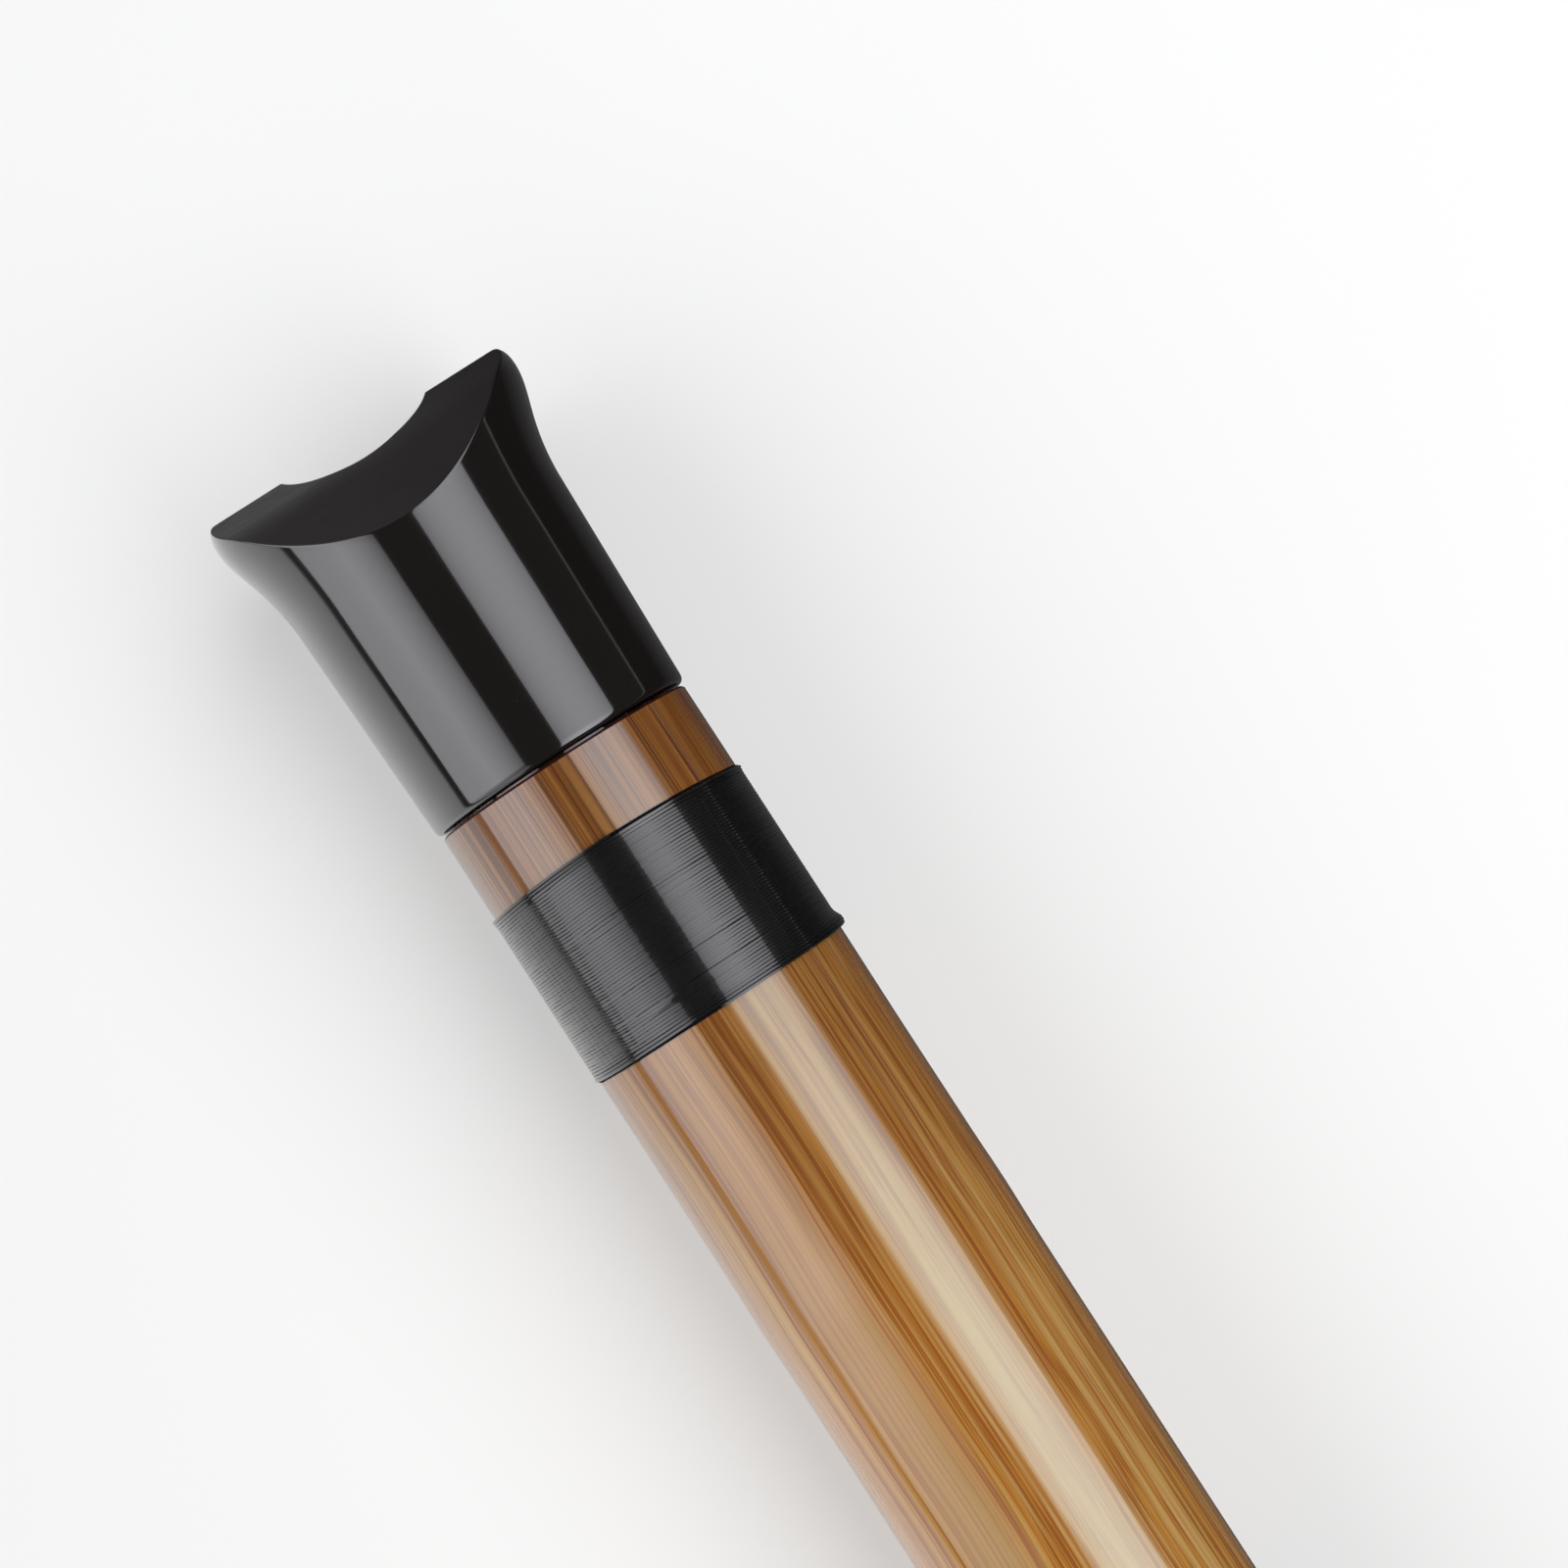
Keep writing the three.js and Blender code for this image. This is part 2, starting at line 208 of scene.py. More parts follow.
# Fineness of the meshes
HEAD_SIDES = 288
TUBE_SIDES = 192
LAYER_SIDES = 96
HOLE_SIDES = 64
HOLE_ROLL_STEPS = 6
THREAD_SIDES = 8
THREAD_STEPS = 80
ROW_STEP = 0.0025
ROUND_STEPS = 5
UPPER_BORE_STEPS = 60
FOOT_BORE_STEPS = 24
THROAT_BORE_STEPS = 40
MERGE_DISTANCE = 1e-7
SHARP_EDGE = math.radians(32)
THREAD_SHARP_EDGE = math.radians(45)
LAPPING_SHARP_EDGE = math.radians(80)

# Fineness of the mouthpiece: steps of its curves, its rows, and how these and its columns
# crowd towards the edges
RIM_STEPS = 24
NECK_STEPS = 64
SKIRT_STEPS = 40
TOP_STEPS = 120
CORNER_HALVINGS = 30
BORE_ROWS = 12
BORE_CROWDING = 0.6
BORE_EDGE_STEPS = 3
TOP_ROWS = 40
SATIN_EDGE_ROWS = 4
OUTSIDE_ROWS = 72
OUTSIDE_CROWDING = 1.25
COLUMN_CROWDING = 0.6

# Bamboo's colours: the stations where they start and stop getting lighter, the edges across the
# bamboo of two streaks along its top that paint the tint of the two lamps' reflections there,
# their blur, and the stations where they fade and end
DARK_UNTIL = 0.040
LIGHT_FROM = 0.118
STRAW_REFLECTION_EDGES = (0.0006, 0.0078)
TAN_REFLECTION_EDGES = (-0.0108, -0.0036)
REFLECTION_TINT_BLUR = 0.0016
REFLECTION_TINT_FADES = 0.15
REFLECTION_TINT_ENDS = 0.24
FIBRE_WANDER = 0.0007

# Floor, and the dark card that paints reflections
FLOOR_REACH = 3
FLOOR_DROP = 0.0001
PALE_FROM = 0.45
PALE_TO = 1.1
PALE_NEAR_SHARE = 0.3
CARD_LOW = (-1.2, 0.003)
CARD_HIGH = (1.2, 0.62)
CARD_HEIGHT = 0.0006
CARD_PALE_FROM = 0.060
CARD_PALE_TO = 0.025

# Lamps: edges are (y, height). A falloff is where across the lamp it is brightest, the shares
# left at its low and its high edge, and how curved the way there is. A run is the share that it
# changes to along the flute, and the stations where it starts and stops changing.
LAMP_TINT = (0.985, 0.98, 1.025)
LAMP_MIDDLE = -0.1
LAMP_POWER = 6.1
LEFT_EDGES = ((-0.68, 0.083), (-0.80, 1.666))
LEFT_LENGTH = 3.4
LEFT_FALLOFF = (0.3, 0.75, 0.3, 1.0)
LEFT_RUN = (0.45, 0.15, 0.38)
RIGHT_EDGES = ((0.0685, 0.62), (0.50, 0.356))
RIGHT_LENGTH = 1.3
RIGHT_FALLOFF = (0.5, 0.58, 0.58, 2.0)
RIGHT_RUN = (1.4, 0.08, 0.27)

# World: what matt surfaces, polished ones and the camera see of it
WORLD_MATT = (0.18, 0.18, 0.18, 1)
WORLD_POLISHED = (0.05, 0.05, 0.05, 1)
WORLD_SEEN = (0.94, 0.94, 0.95, 1)

# Camera: over the head, turned so that the flute runs down to the right
ROLL = math.radians(3.2)
CAMERA_STATION = 0.0583
CAMERA_SIDE = 0.0194
CAMERA_HEIGHT = 0.313
LENS = 64.0
SENSOR_WIDTH = 36.0
CLIP_START = 0.01
CLIP_END = 50.0
ALONG_IN_PICTURE = Vector((0.5441, -0.8391))

axis_height = (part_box("lower_joint_ring")[0].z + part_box("lower_joint_ring")[1].z) / 2
head_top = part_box("mouthpiece")[0].x
upper_start = HEAD_LENGTH + SEAM_GAP
lower_start = JOINT_STATION + SEAM_GAP


# Materials

def linear(red, green, blue):
    """A colour written as eight-bit screen values, in Blender's linear light."""
    def one(value):
        share = value / 255
        return share / 12.92 if share <= 0.04045 else ((share + 0.055) / 1.055) ** 2.4
    return (one(red), one(green), one(blue), 1)


def feed(tree, node, inputs):
    """Sets a node's inputs, by name or number, from other sockets or from plain values."""
    for label, source in inputs.items():
        target = node.inputs[label]
        if isinstance(source, bpy.types.NodeSocket):
            tree.links.new(source, target)
        else:
            target.default_value = source


def add(tree, kind, inputs=None, **settings):
    """A new node with these inputs and settings."""
    node = tree.nodes.new(kind)
    for key, value in settings.items():
        setattr(node, key, value)
    feed(tree, node, inputs or {})
    return node


def grain(tree, vector, squeeze, scale, detail, roughness):
    """Noise on coordinates that are squeezed along each axis by its share."""
    mapping = add(tree, "ShaderNodeMapping", {"Vector": vector, "Scale": squeeze})
    node = add(tree, "ShaderNodeTexNoise", {
        "Vector": mapping.outputs["Vector"], "Scale": scale, "Detail": detail, "Roughness": roughness,
    })
    return node.outputs["Fac"]


def spread(tree, value, low, high, bottom=0.0, top=1.0):
    """Maps a value from low..high to bottom..top, and stops at both ends."""
    node = add(tree, "ShaderNodeMapRange", {
        "Value": value, "From Min": low, "From Max": high, "To Min": bottom, "To Max": top,
    })
    return node.outputs["Result"]


def blend_colour(tree, share, first, second, kind="MIX"):
    """Blends two colours. The node's colours are its inputs 6 and 7 and its output 2."""
    inputs = {"Factor": share, 6: first, 7: second}
    return add(tree, "ShaderNodeMix", inputs, data_type="RGBA", blend_type=kind).outputs[2]


def arithmetic(tree, operation, first, second):
    return add(tree, "ShaderNodeMath", {0: first, 1: second}, operation=operation).outputs[0]


def product(tree, *factors):
    """All these factors multiplied."""
    result = factors[0]
    for factor in factors[1:]:
        result = arithmetic(tree, "MULTIPLY", result, factor)
    return result


def bump(tree, height, strength, distance):
    inputs = {"Height": height, "Strength": strength, "Distance": distance}
    return add(tree, "ShaderNodeBump", inputs).outputs["Normal"]


def parts_of(tree, vector):
    """The outputs X, Y and Z of a vector."""
    return add(tree, "ShaderNodeSeparateXYZ", {"Vector": vector}).outputs


def grain_group(name, layers):
    """A shared node group of noises. Each layer has a name, the grain's values, and the range
    that is spread to its full contrast, or None."""
    tree = bpy.data.node_groups.new(name, "ShaderNodeTree")
    tree.interface.new_socket("Vector", in_out="INPUT", socket_type="NodeSocketVector")
    for label, values, contrast in layers:
        tree.interface.new_socket(label, in_out="OUTPUT", socket_type="NodeSocketFloat")
    place = add(tree, "NodeGroupInput").outputs["Vector"]
    out = add(tree, "NodeGroupOutput")
    for label, values, contrast in layers:
        layer = grain(tree, place, *values)
        feed(tree, out, {label: spread(tree, layer, *contrast) if contrast else layer})
    return tree


# Lengthwise bamboo fibre: fine lines, broad streaks and slow patches
FIBRE = grain_group("bamboo_fibre", (
    ("Lines", ((0.004, 1, 1), 3300, 1, 0.5), (0.38, 0.62)),
    ("Streaks", ((0.010, 1, 1), 900, 3, 0.6), (0.34, 0.66)),
    ("Patches", ((0.25, 1, 1), 95, 2, 0.5), (0.35, 0.65)),
))
# Faint smears and specks that a polished surface picks up in use, and its slight ripple
HANDLING = grain_group("handling", (
    ("Smears", ((0.35, 1, 1), 160, 3, 0.6), (0.35, 0.70)),
    ("Specks", ((1, 1, 1), 2600, 1, 0.5), (0.80, 0.86)),
    ("Ripple", ((0.30, 1, 1), 330, 1, 0.5), None),
))
MID_RANGE = (0.3, 0.7)
WHOLE_RANGE = (0.0, 1.0)


def finish_start(name):
    """A new material: its tree, its Principled shader and the object's own coordinates."""
    material = bpy.data.materials.new(name)
    material.use_nodes = True
    tree = material.node_tree
    shader = tree.nodes["Principled BSDF"]
    place = add(tree, "ShaderNodeTexCoord").outputs["Object"]
    return material, tree, shader, place


def shared(tree, group, place):
    """The outputs of a shared node group in this material, on these coordinates."""
    node = add(tree, "ShaderNodeGroup", node_tree=group)
    feed(tree, node, {"Vector": place})
    return node.outputs


def dress(tree, shader, colour, roughness, relief, constants):
    """Feeds a shader its colour and roughness, its relief as (height, strength, distance) or
    None, and the constants that it is given by name."""
    feed(tree, shader, {"Base Color": colour, "Roughness": roughness, **constants})
    if relief:
        feed(tree, shader, {"Normal": bump(tree, *relief)})


def coat(weight, roughness, ior):
    return {"Coat Weight": weight, "Coat Roughness": roughness, "Coat IOR": ior}


def gloss_resin():
    """Polished black resin of the mouthpiece."""
    material, tree, shader, place = finish_start("gloss_black_resin")
    marks = shared(tree, HANDLING, place)
    colour = blend_colour(tree, marks["Smears"], linear(17, 12, 11), linear(19, 14, 13))
    colour = blend_colour(tree, marks["Specks"], colour, linear(60, 58, 56))
    roughness = spread(tree, marks["Smears"], *WHOLE_RANGE, 0.09, 0.12)
    relief = (marks["Ripple"], 0.25, 0.00006)
    dress(tree, shader, colour, roughness, relief, {"IOR": 1.55, **coat(1.0, 0.05, 1.7)})
    return material


def ring_lacquer():
    """Black lacquer of the joint's rings."""
    material, tree, shader, place = finish_start("black_ring_lacquer")
    marks = shared(tree, HANDLING, place)
    colour = blend_colour(tree, marks["Smears"], linear(16, 14, 14), linear(24, 20, 19))
    roughness = spread(tree, marks["Smears"], *WHOLE_RANGE, 0.16, 0.26)
    relief = (marks["Ripple"], 0.2, 0.00006)
    dress(tree, shader, colour, roughness, relief, {"Coat Weight": 0.6, "Coat Roughness": 0.1})
    return material


def on_cylinder(tree, place, parts):
    """Coordinates moved straight in or out to the tube's own radius, with a little wandering
    across them, so that no fibre is quite straight."""
    height = arithmetic(tree, "SUBTRACT", parts["Z"], axis_height)
    outward = add(tree, "ShaderNodeCombineXYZ", {"Y": parts["Y"], "Z": height})
    unit = add(tree, "ShaderNodeVectorMath", {0: outward.outputs["Vector"]}, operation="NORMALIZE")
    inputs = {0: unit.outputs["Vector"], "Scale": TUBE_RADIUS}
    round_tube = add(tree, "ShaderNodeVectorMath", inputs, operation="SCALE")
    wander = grain(tree, place, (1, 0.3, 0.3), 30, 1, 0.5)
    wander = spread(tree, wander, *WHOLE_RANGE, -FIBRE_WANDER, FIBRE_WANDER)
    lengthwise = add(tree, "ShaderNodeCombineXYZ", {"X": parts["X"], "Y": wander, "Z": wander})
    inputs = {0: round_tube.outputs["Vector"], 1: lengthwise.outputs["Vector"]}
    return add(tree, "ShaderNodeVectorMath", inputs, operation="ADD").outputs["Vector"]


def reflection_tint_mask(tree, parts, fibre, lit, edges):
    """Mask of a painted reflection tint, a band of another colour along the top of the bamboo between two
    edges across it, where a lamp reflects.
    It comes in below the mouthpiece and is gone before the first front hole."""
    near_edge = spread(tree, parts["Y"], edges[0], edges[0] + REFLECTION_TINT_BLUR)
    far_edge = spread(tree, parts["Y"], edges[1], edges[1] - REFLECTION_TINT_BLUR)
    above = spread(tree, parts["Z"], axis_height, axis_height + TUBE_RADIUS / 2)
    fading = spread(tree, parts["X"], head_top + REFLECTION_TINT_ENDS, head_top + REFLECTION_TINT_FADES)
    uneven = spread(tree, fibre["Streaks"], *WHOLE_RANGE, 0.45, 0.75)
    return product(tree, near_edge, far_edge, above, lit, fading, uneven)


def lacquered_bamboo():
    """Clear lacquer over bamboo, darker where it meets the mouthpiece."""
    material, tree, shader, place = finish_start("lacquered_bamboo")
    parts = parts_of(tree, place)
    fibre = shared(tree, FIBRE, on_cylinder(tree, place, parts))
    lit = spread(tree, parts["X"], head_top + DARK_UNTIL, head_top + LIGHT_FROM)
    tone = blend_colour(tree, lit, linear(124, 75, 27), linear(184, 131, 57))
    dark = blend_colour(tree, lit, linear(72, 35, 8), linear(146, 86, 29))
    pale = blend_colour(tree, lit, linear(142, 93, 42), linear(196, 162, 99))
    colour = blend_colour(tree, fibre["Lines"], dark, tone)
    colour = blend_colour(tree, spread(tree, fibre["Streaks"], 0.45, 1.0, 0.0, 0.75), colour, pale)
    # The two bands paint the tint of the lamps' reflections into the bamboo's own colour.
    for edges, reflection_tint in ((STRAW_REFLECTION_EDGES, linear(168, 158, 101)), (TAN_REFLECTION_EDGES, linear(159, 121, 32))):
        colour = blend_colour(tree, reflection_tint_mask(tree, parts, fibre, lit, edges), colour, reflection_tint)
    warm = blend_colour(tree, fibre["Patches"], linear(252, 243, 228), linear(255, 255, 255))
    colour = blend_colour(tree, 1.0, colour, warm, "MULTIPLY")
    roughness = spread(tree, fibre["Lines"], *WHOLE_RANGE, 0.22, 0.14)
    relief = (fibre["Lines"], 0.12, 0.00003)
    dress(tree, shader, colour, roughness, relief, {"IOR": 1.6, **coat(1.0, 0.06, 1.7)})
    return material


def cut_bamboo():
    """Sawn bamboo of the tube's ends and hole walls, with its dark fibre ends."""
    material, tree, shader, place = finish_start("cut_bamboo")
    pores = grain(tree, place, (0.05, 1, 1), 1500, 1, 0.5)
    cloud = grain(tree, place, (0.3, 1, 1), 240, 2, 0.5)
    colour = spread(tree, cloud, *MID_RANGE)
    colour = blend_colour(tree, colour, linear(196, 154, 104), linear(222, 190, 146))
    colour = blend_colour(tree, spread(tree, pores, 0.58, 0.66), colour, linear(112, 70, 34))
    dress(tree, shader, colour, spread(tree, pores, *MID_RANGE, 0.5, 0.65), (pores, 0.4, 0.00005), {})
    return material


def lacquered_thread():
    """Black thread under thin lacquer."""
    material, tree, shader, place = finish_start("black_thread")
    twist = grain(tree, place, (1, 0.35, 0.35), 3800, 2, 0.6)
    cloud = grain(tree, place, (0.5, 1, 1), 230, 2, 0.5)
    colour = blend_colour(tree, spread(tree, twist, *MID_RANGE), linear(11, 11, 12), linear(19, 19, 20))
    colour = blend_colour(tree, spread(tree, cloud, 0.45, 0.8, 0.0, 0.4), colour, linear(26, 24, 24))
    roughness = spread(tree, cloud, *MID_RANGE, 0.16, 0.22)
    dress(tree, shader, colour, roughness, (twist, 0.3, 0.00002), coat(1.0, 0.05, 1.6))
    return material


def simple_finish(name, colour_grain, colours, contrast, surface_grain, roughness, relief, constants):
    """A finish whose first noise blends its two colours, and whose second noise makes its
    roughness, and its relief where it has one."""
    material, tree, shader, place = finish_start(name)
    share = spread(tree, grain(tree, place, *colour_grain), *contrast)
    surface = grain(tree, place, *surface_grain)
    relief = (surface, *relief) if relief else None
    roughness = spread(tree, surface, *MID_RANGE, *roughness)
    dress(tree, shader, blend_colour(tree, share, *colours), roughness, relief, constants)
    return material


GLOSS_RESIN = gloss_resin()
# Sanded black resin of the blowing face
SATIN_RESIN = simple_finish(
    "satin_black_resin", ((1, 1, 1), 140, 2, 0.5), (linear(23, 18, 19), linear(28, 23, 24)), MID_RANGE,
    ((1, 0.06, 1), 3600, 2, 0.6), (0.52, 0.64), (0.3, 0.00002), {"Specular IOR Level": 0.35},
)
BAMBOO = lacquered_bamboo()
CUT_BAMBOO = cut_bamboo()
# Dark red-brown lacquer inside the bore
RUNS = ((0.08, 1, 1), 420, 2, 0.5)
BORE = simple_finish(
    "bore_lacquer", RUNS, (linear(46, 14, 9), linear(66, 22, 13)), MID_RANGE,
    RUNS, (0.22, 0.32), (0.25, 0.00006), {},
)
THREAD = lacquered_thread()
# Painted shade: the dull near-black thread under the turns that show, so that the gaps between turns look
# dark
DULL_CLOUD = ((1, 1, 1), 900, 2, 0.5)
THREAD_SHADOW = simple_finish(
    "thread_shadow", DULL_CLOUD, (linear(5, 5, 5), linear(10, 9, 9)), WHOLE_RANGE,
    DULL_CLOUD, (0.8, 0.9), None, {"Specular IOR Level": 0.1},
)
# Pale waxed thread of the tenon
WAXED_TWIST = ((1, 0.4, 0.4), 4200, 2, 0.6)
WAXED = simple_finish(
    "waxed_thread", WAXED_TWIST, (linear(150, 122, 84), linear(206, 184, 144)), MID_RANGE,
    WAXED_TWIST, (0.55, 0.7), (0.5, 0.00004), {},
)
RINGS = ring_lacquer()


# Turned forms

def spun_chain(points, centre, axis, sides, closed):
    """Spins a chain of points once round an axis."""
    form = bmesh.new()
    corners = [form.verts.new(point) for point in points]
    after = corners[1:] + corners[:1] if closed else corners[1:]
    edges = [form.edges.new(pair) for pair in zip(corners, after)]
    bmesh.ops.spin(
        form, geom=corners + edges, cent=centre, axis=axis, dvec=(0, 0, 0),
        angle=2 * math.pi, steps=sides, use_merge=True, use_duplicate=False, use_normal_flip=False,
    )
    return form


def spun(outline, sides):
    """Spins a closed outline of (radius, station) corners once round the bore's axis."""
    points = [(head_top + station, 0, axis_height + radius) for radius, station in outline]
    return spun_chain(points, (0, 0, axis_height), (1, 0, 0), sides, True)


def closed_up(form):
    bmesh.ops.remove_doubles(form, verts=form.verts, dist=MERGE_DISTANCE)
    bmesh.ops.recalc_face_normals(form, faces=form.faces)
    return form


def made(name, form, materials, sharp=SHARP_EDGE):
    """A finished object of this mesh, smooth but for the edges that turn more sharply."""
    for face in form.faces:
        face.smooth = True
    for edge in form.edges:
        edge.smooth = not (len(edge.link_faces) == 2 and edge.calc_face_angle(0) > sharp)
    mesh = bpy.data.meshes.new(name)
    form.to_mesh(mesh)
    form.free()
    for material in materials:
        mesh.materials.append(material)
    piece = bpy.data.objects.new(name, mesh)
    bpy.context.scene.collection.objects.link(piece)
    return piece


def settle(piece, body, slot, *nodes):
    """The piece rides on its body and stands for the nodes. The slot is not used."""
    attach(piece, body)
    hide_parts(*nodes)


def around(point):
    """Distance from the bore's axis, and the angle from the top towards +Y."""
    height = point.z - axis_height
    return math.hypot(point.y, height), math.atan2(point.y, height)


def to_place(radius, angle, station):
    """A point in the flute's frame from its place round and along the bore."""
    return Vector((
        head_top + station,
        radius * math.sin(angle),
        axis_height + radius * math.cos(angle),
    ))


def bezier(points, share):
    """A point of the curve that these control points draw."""
    while len(points) > 1:
        points = [a.lerp(b, share) for a, b in zip(points, points[1:])]
    return points[0]


def rounding(before, corner, after, steps=ROUND_STEPS, first=0):
    """Points of an edge that is rounded from one point beside its corner to another."""
    points = [Vector(before), Vector(corner), Vector(after)]
    return [bezier(points, step / steps) for step in range(first, steps + 1)]


def straight(first, second, steps):
    """Corners of an outline on the straight way from one corner to another."""
    shares = [step / steps for step in range(steps + 1)]
    return [tuple(a + (b - a) * share for a, b in zip(first, second)) for share in shares]


# Mouthpiece

def rolled(height, bend, depth, slope, steeper, radius):
    """Station on two straight slopes that meet at a bend and are rolled over there."""
    tangent = radius * math.tan((steeper - slope) / 2)
    if height <= bend - tangent * math.cos(slope):
        return depth + (height - bend) * math.tan(slope)
    if height >= bend + tangent * math.cos(steeper):
        return depth + (height - bend) * math.tan(steeper)
    centre_height = bend - tangent * math.cos(slope) - radius * math.sin(slope)
    centre_depth = depth - tangent * math.sin(slope) + radius * math.cos(slope)
    return centre_depth - math.sqrt(radius ** 2 - (height - centre_height) ** 2)


def top_depth(height):
    """Station of the mouthpiece's top, at a height above the bore's axis."""
    if height >= (FACE_START + FACE_BREAK) / 2:
        depth = (FACE_BREAK - FACE_START) * math.tan(INNER_FACE_SLOPE)
        return rolled(height, FACE_BREAK, depth, INNER_FACE_SLOPE, OUTER_FACE_SLOPE, FACE_ROLL_RADIUS)
    if height >= 0:
        return rolled(height, FACE_START, 0.0, 0.0, INNER_FACE_SLOPE, FACE_START_ROUND)
    roll_at = CHIN_ROLL_INSET - RIM_RADIUS
    if height >= roll_at:
        return -height * math.tan(CHIN_SLOPE)
    centre_height = roll_at + CHIN_ROLL_RADIUS * math.sin(CHIN_SLOPE)
    centre_depth = -roll_at * math.tan(CHIN_SLOPE) + CHIN_ROLL_RADIUS * math.cos(CHIN_SLOPE)
    end_height = centre_height - CHIN_ROLL_RADIUS * math.sin(CHIN_ROLL_END)
    if height >= end_height:
        return centre_depth - math.sqrt(CHIN_ROLL_RADIUS ** 2 - (height - centre_height) ** 2)
    end_depth = centre_depth - CHIN_ROLL_RADIUS * math.cos(CHIN_ROLL_END)
    return end_depth + (end_height - height) * math.tan(CHIN_ROLL_END)


def flare():
    """Outside of the head from its flat top to its foot, as (radius, station) vectors."""
    span = WAIST_DEPTH - RIM_DEPTH
    first, swell, second = FLARE_SHARES
    rim = [
        Vector((RIM_RADIUS - RIM_INSET, 0)),
        Vector((RIM_RADIUS, 0)),
        Vector((RIM_RADIUS, RIM_DEPTH)),
    ]
    neck = [
        Vector((RIM_RADIUS, RIM_DEPTH)),
        Vector((RIM_RADIUS, RIM_DEPTH + span * first)),
        Vector((WAIST_RADIUS + (RIM_RADIUS - WAIST_RADIUS) * swell, RIM_DEPTH + span * second)),
        Vector((WAIST_RADIUS, WAIST_DEPTH)),
    ]
    skirt = [neck[-1], Vector((HEAD_FOOT_RADIUS, HEAD_LENGTH - HEAD_FOOT_ROUND))]
    line = [bezier(rim, step / RIM_STEPS) for step in range(RIM_STEPS)]
    line += [bezier(neck, step / NECK_STEPS) for step in range(NECK_STEPS)]
    line += [bezier(skirt, step / SKIRT_STEPS) for step in range(SKIRT_STEPS + 1)]
    return line


FLARE = flare()


def along(line, distances):
    """Points at these rising distances along a line of vectors."""
    points = []
    index = 0
    passed = 0.0
    step = (line[1] - line[0]).length
    for distance in distances:
        while distance > passed + step and index + 2 < len(line):
            passed += step
            index += 1
            step = (line[index + 1] - line[index]).length
        share = min((distance - passed) / step, 1.0) if step > 0 else 0.0
        points.append(line[index].lerp(line[index + 1], share))
    return points


def length_of(line):
    return sum((b - a).length for a, b in zip(line, line[1:]))


def cut_flare(lean):
    """The part of the flare that the cut top leaves at an angle with this cosine, from its corner on."""
    def short(point):
        return point.y - top_depth(point.x * lean)

    kept = next(index for index, point in enumerate(FLARE) if short(point) >= 0)
    if kept == 0:
        return FLARE
    low, high = FLARE[kept - 1], FLARE[kept]
    for _ in range(CORNER_HALVINGS):
        middle = low.lerp(high, 0.5)
        low, high = (middle, high) if short(middle) < 0 else (low, middle)
    return [low.lerp(high, 0.5)] + FLARE[kept:]


def head_section(angle):
    """The mouthpiece's half section at an angle from the top, as a closed run of corners.
    It goes up the bore, out over the top, round the cut edge and down to the foot."""
    lean = math.cos(angle)
    outside = cut_flare(lean)
    corner = outside[0]
    inner = Vector((HEAD_BORE, top_depth(HEAD_BORE * lean)))
    top = []
    for step in range(TOP_STEPS + 1):
        radius = HEAD_BORE + (corner.x - HEAD_BORE) * step / TOP_STEPS
        top.append(Vector((radius, top_depth(radius * lean))))
    top[-1] = corner
    across = length_of(top)
    down = length_of(outside)

    rows = []
    spigot_end = HEAD_LENGTH + SPIGOT_LENGTH
    for step in range(BORE_ROWS):
        share = (step / BORE_ROWS) ** BORE_CROWDING
        rows.append(Vector((HEAD_BORE, spigot_end + (inner.y + BORE_EDGE * 2 - spigot_end) * share)))
    bore_start = Vector((HEAD_BORE, inner.y + BORE_EDGE))
    rows.append(bore_start + Vector((0, EDGE_SUPPORT)))
    rows += rounding(bore_start, inner, along(top, [BORE_EDGE])[0], BORE_EDGE_STEPS)
    first = BORE_EDGE + EDGE_SUPPORT
    last = across - CUT_EDGE - EDGE_SUPPORT
    rows += along(top, [first + (last - first) * step / TOP_ROWS for step in range(TOP_ROWS + 1)])
    rows += rounding(along(top, [across - CUT_EDGE])[0], corner, along(outside, [CUT_EDGE])[0])
    first = CUT_EDGE + EDGE_SUPPORT
    shares = [(step / OUTSIDE_ROWS) ** OUTSIDE_CROWDING for step in range(OUTSIDE_ROWS + 1)]
    rows += along(outside, [first + (down - first) * share for share in shares])
    foot_outer = (HEAD_FOOT_RADIUS, HEAD_LENGTH - HEAD_FOOT_ROUND)
    foot_inner = (HEAD_FOOT_RADIUS - HEAD_FOOT_ROUND, HEAD_LENGTH)
    rows += rounding(foot_outer, (HEAD_FOOT_RADIUS, HEAD_LENGTH), foot_inner, first=1)
    rows.append(Vector((SPIGOT_RADIUS + SPIGOT_SHOULDER, HEAD_LENGTH)))
    rows.append(Vector((SPIGOT_RADIUS, HEAD_LENGTH)))
    rows.append(Vector((SPIGOT_RADIUS, spigot_end - SPIGOT_LEAD)))
    rows.append(Vector((SPIGOT_RADIUS - SPIGOT_LEAD, spigot_end)))
    return rows


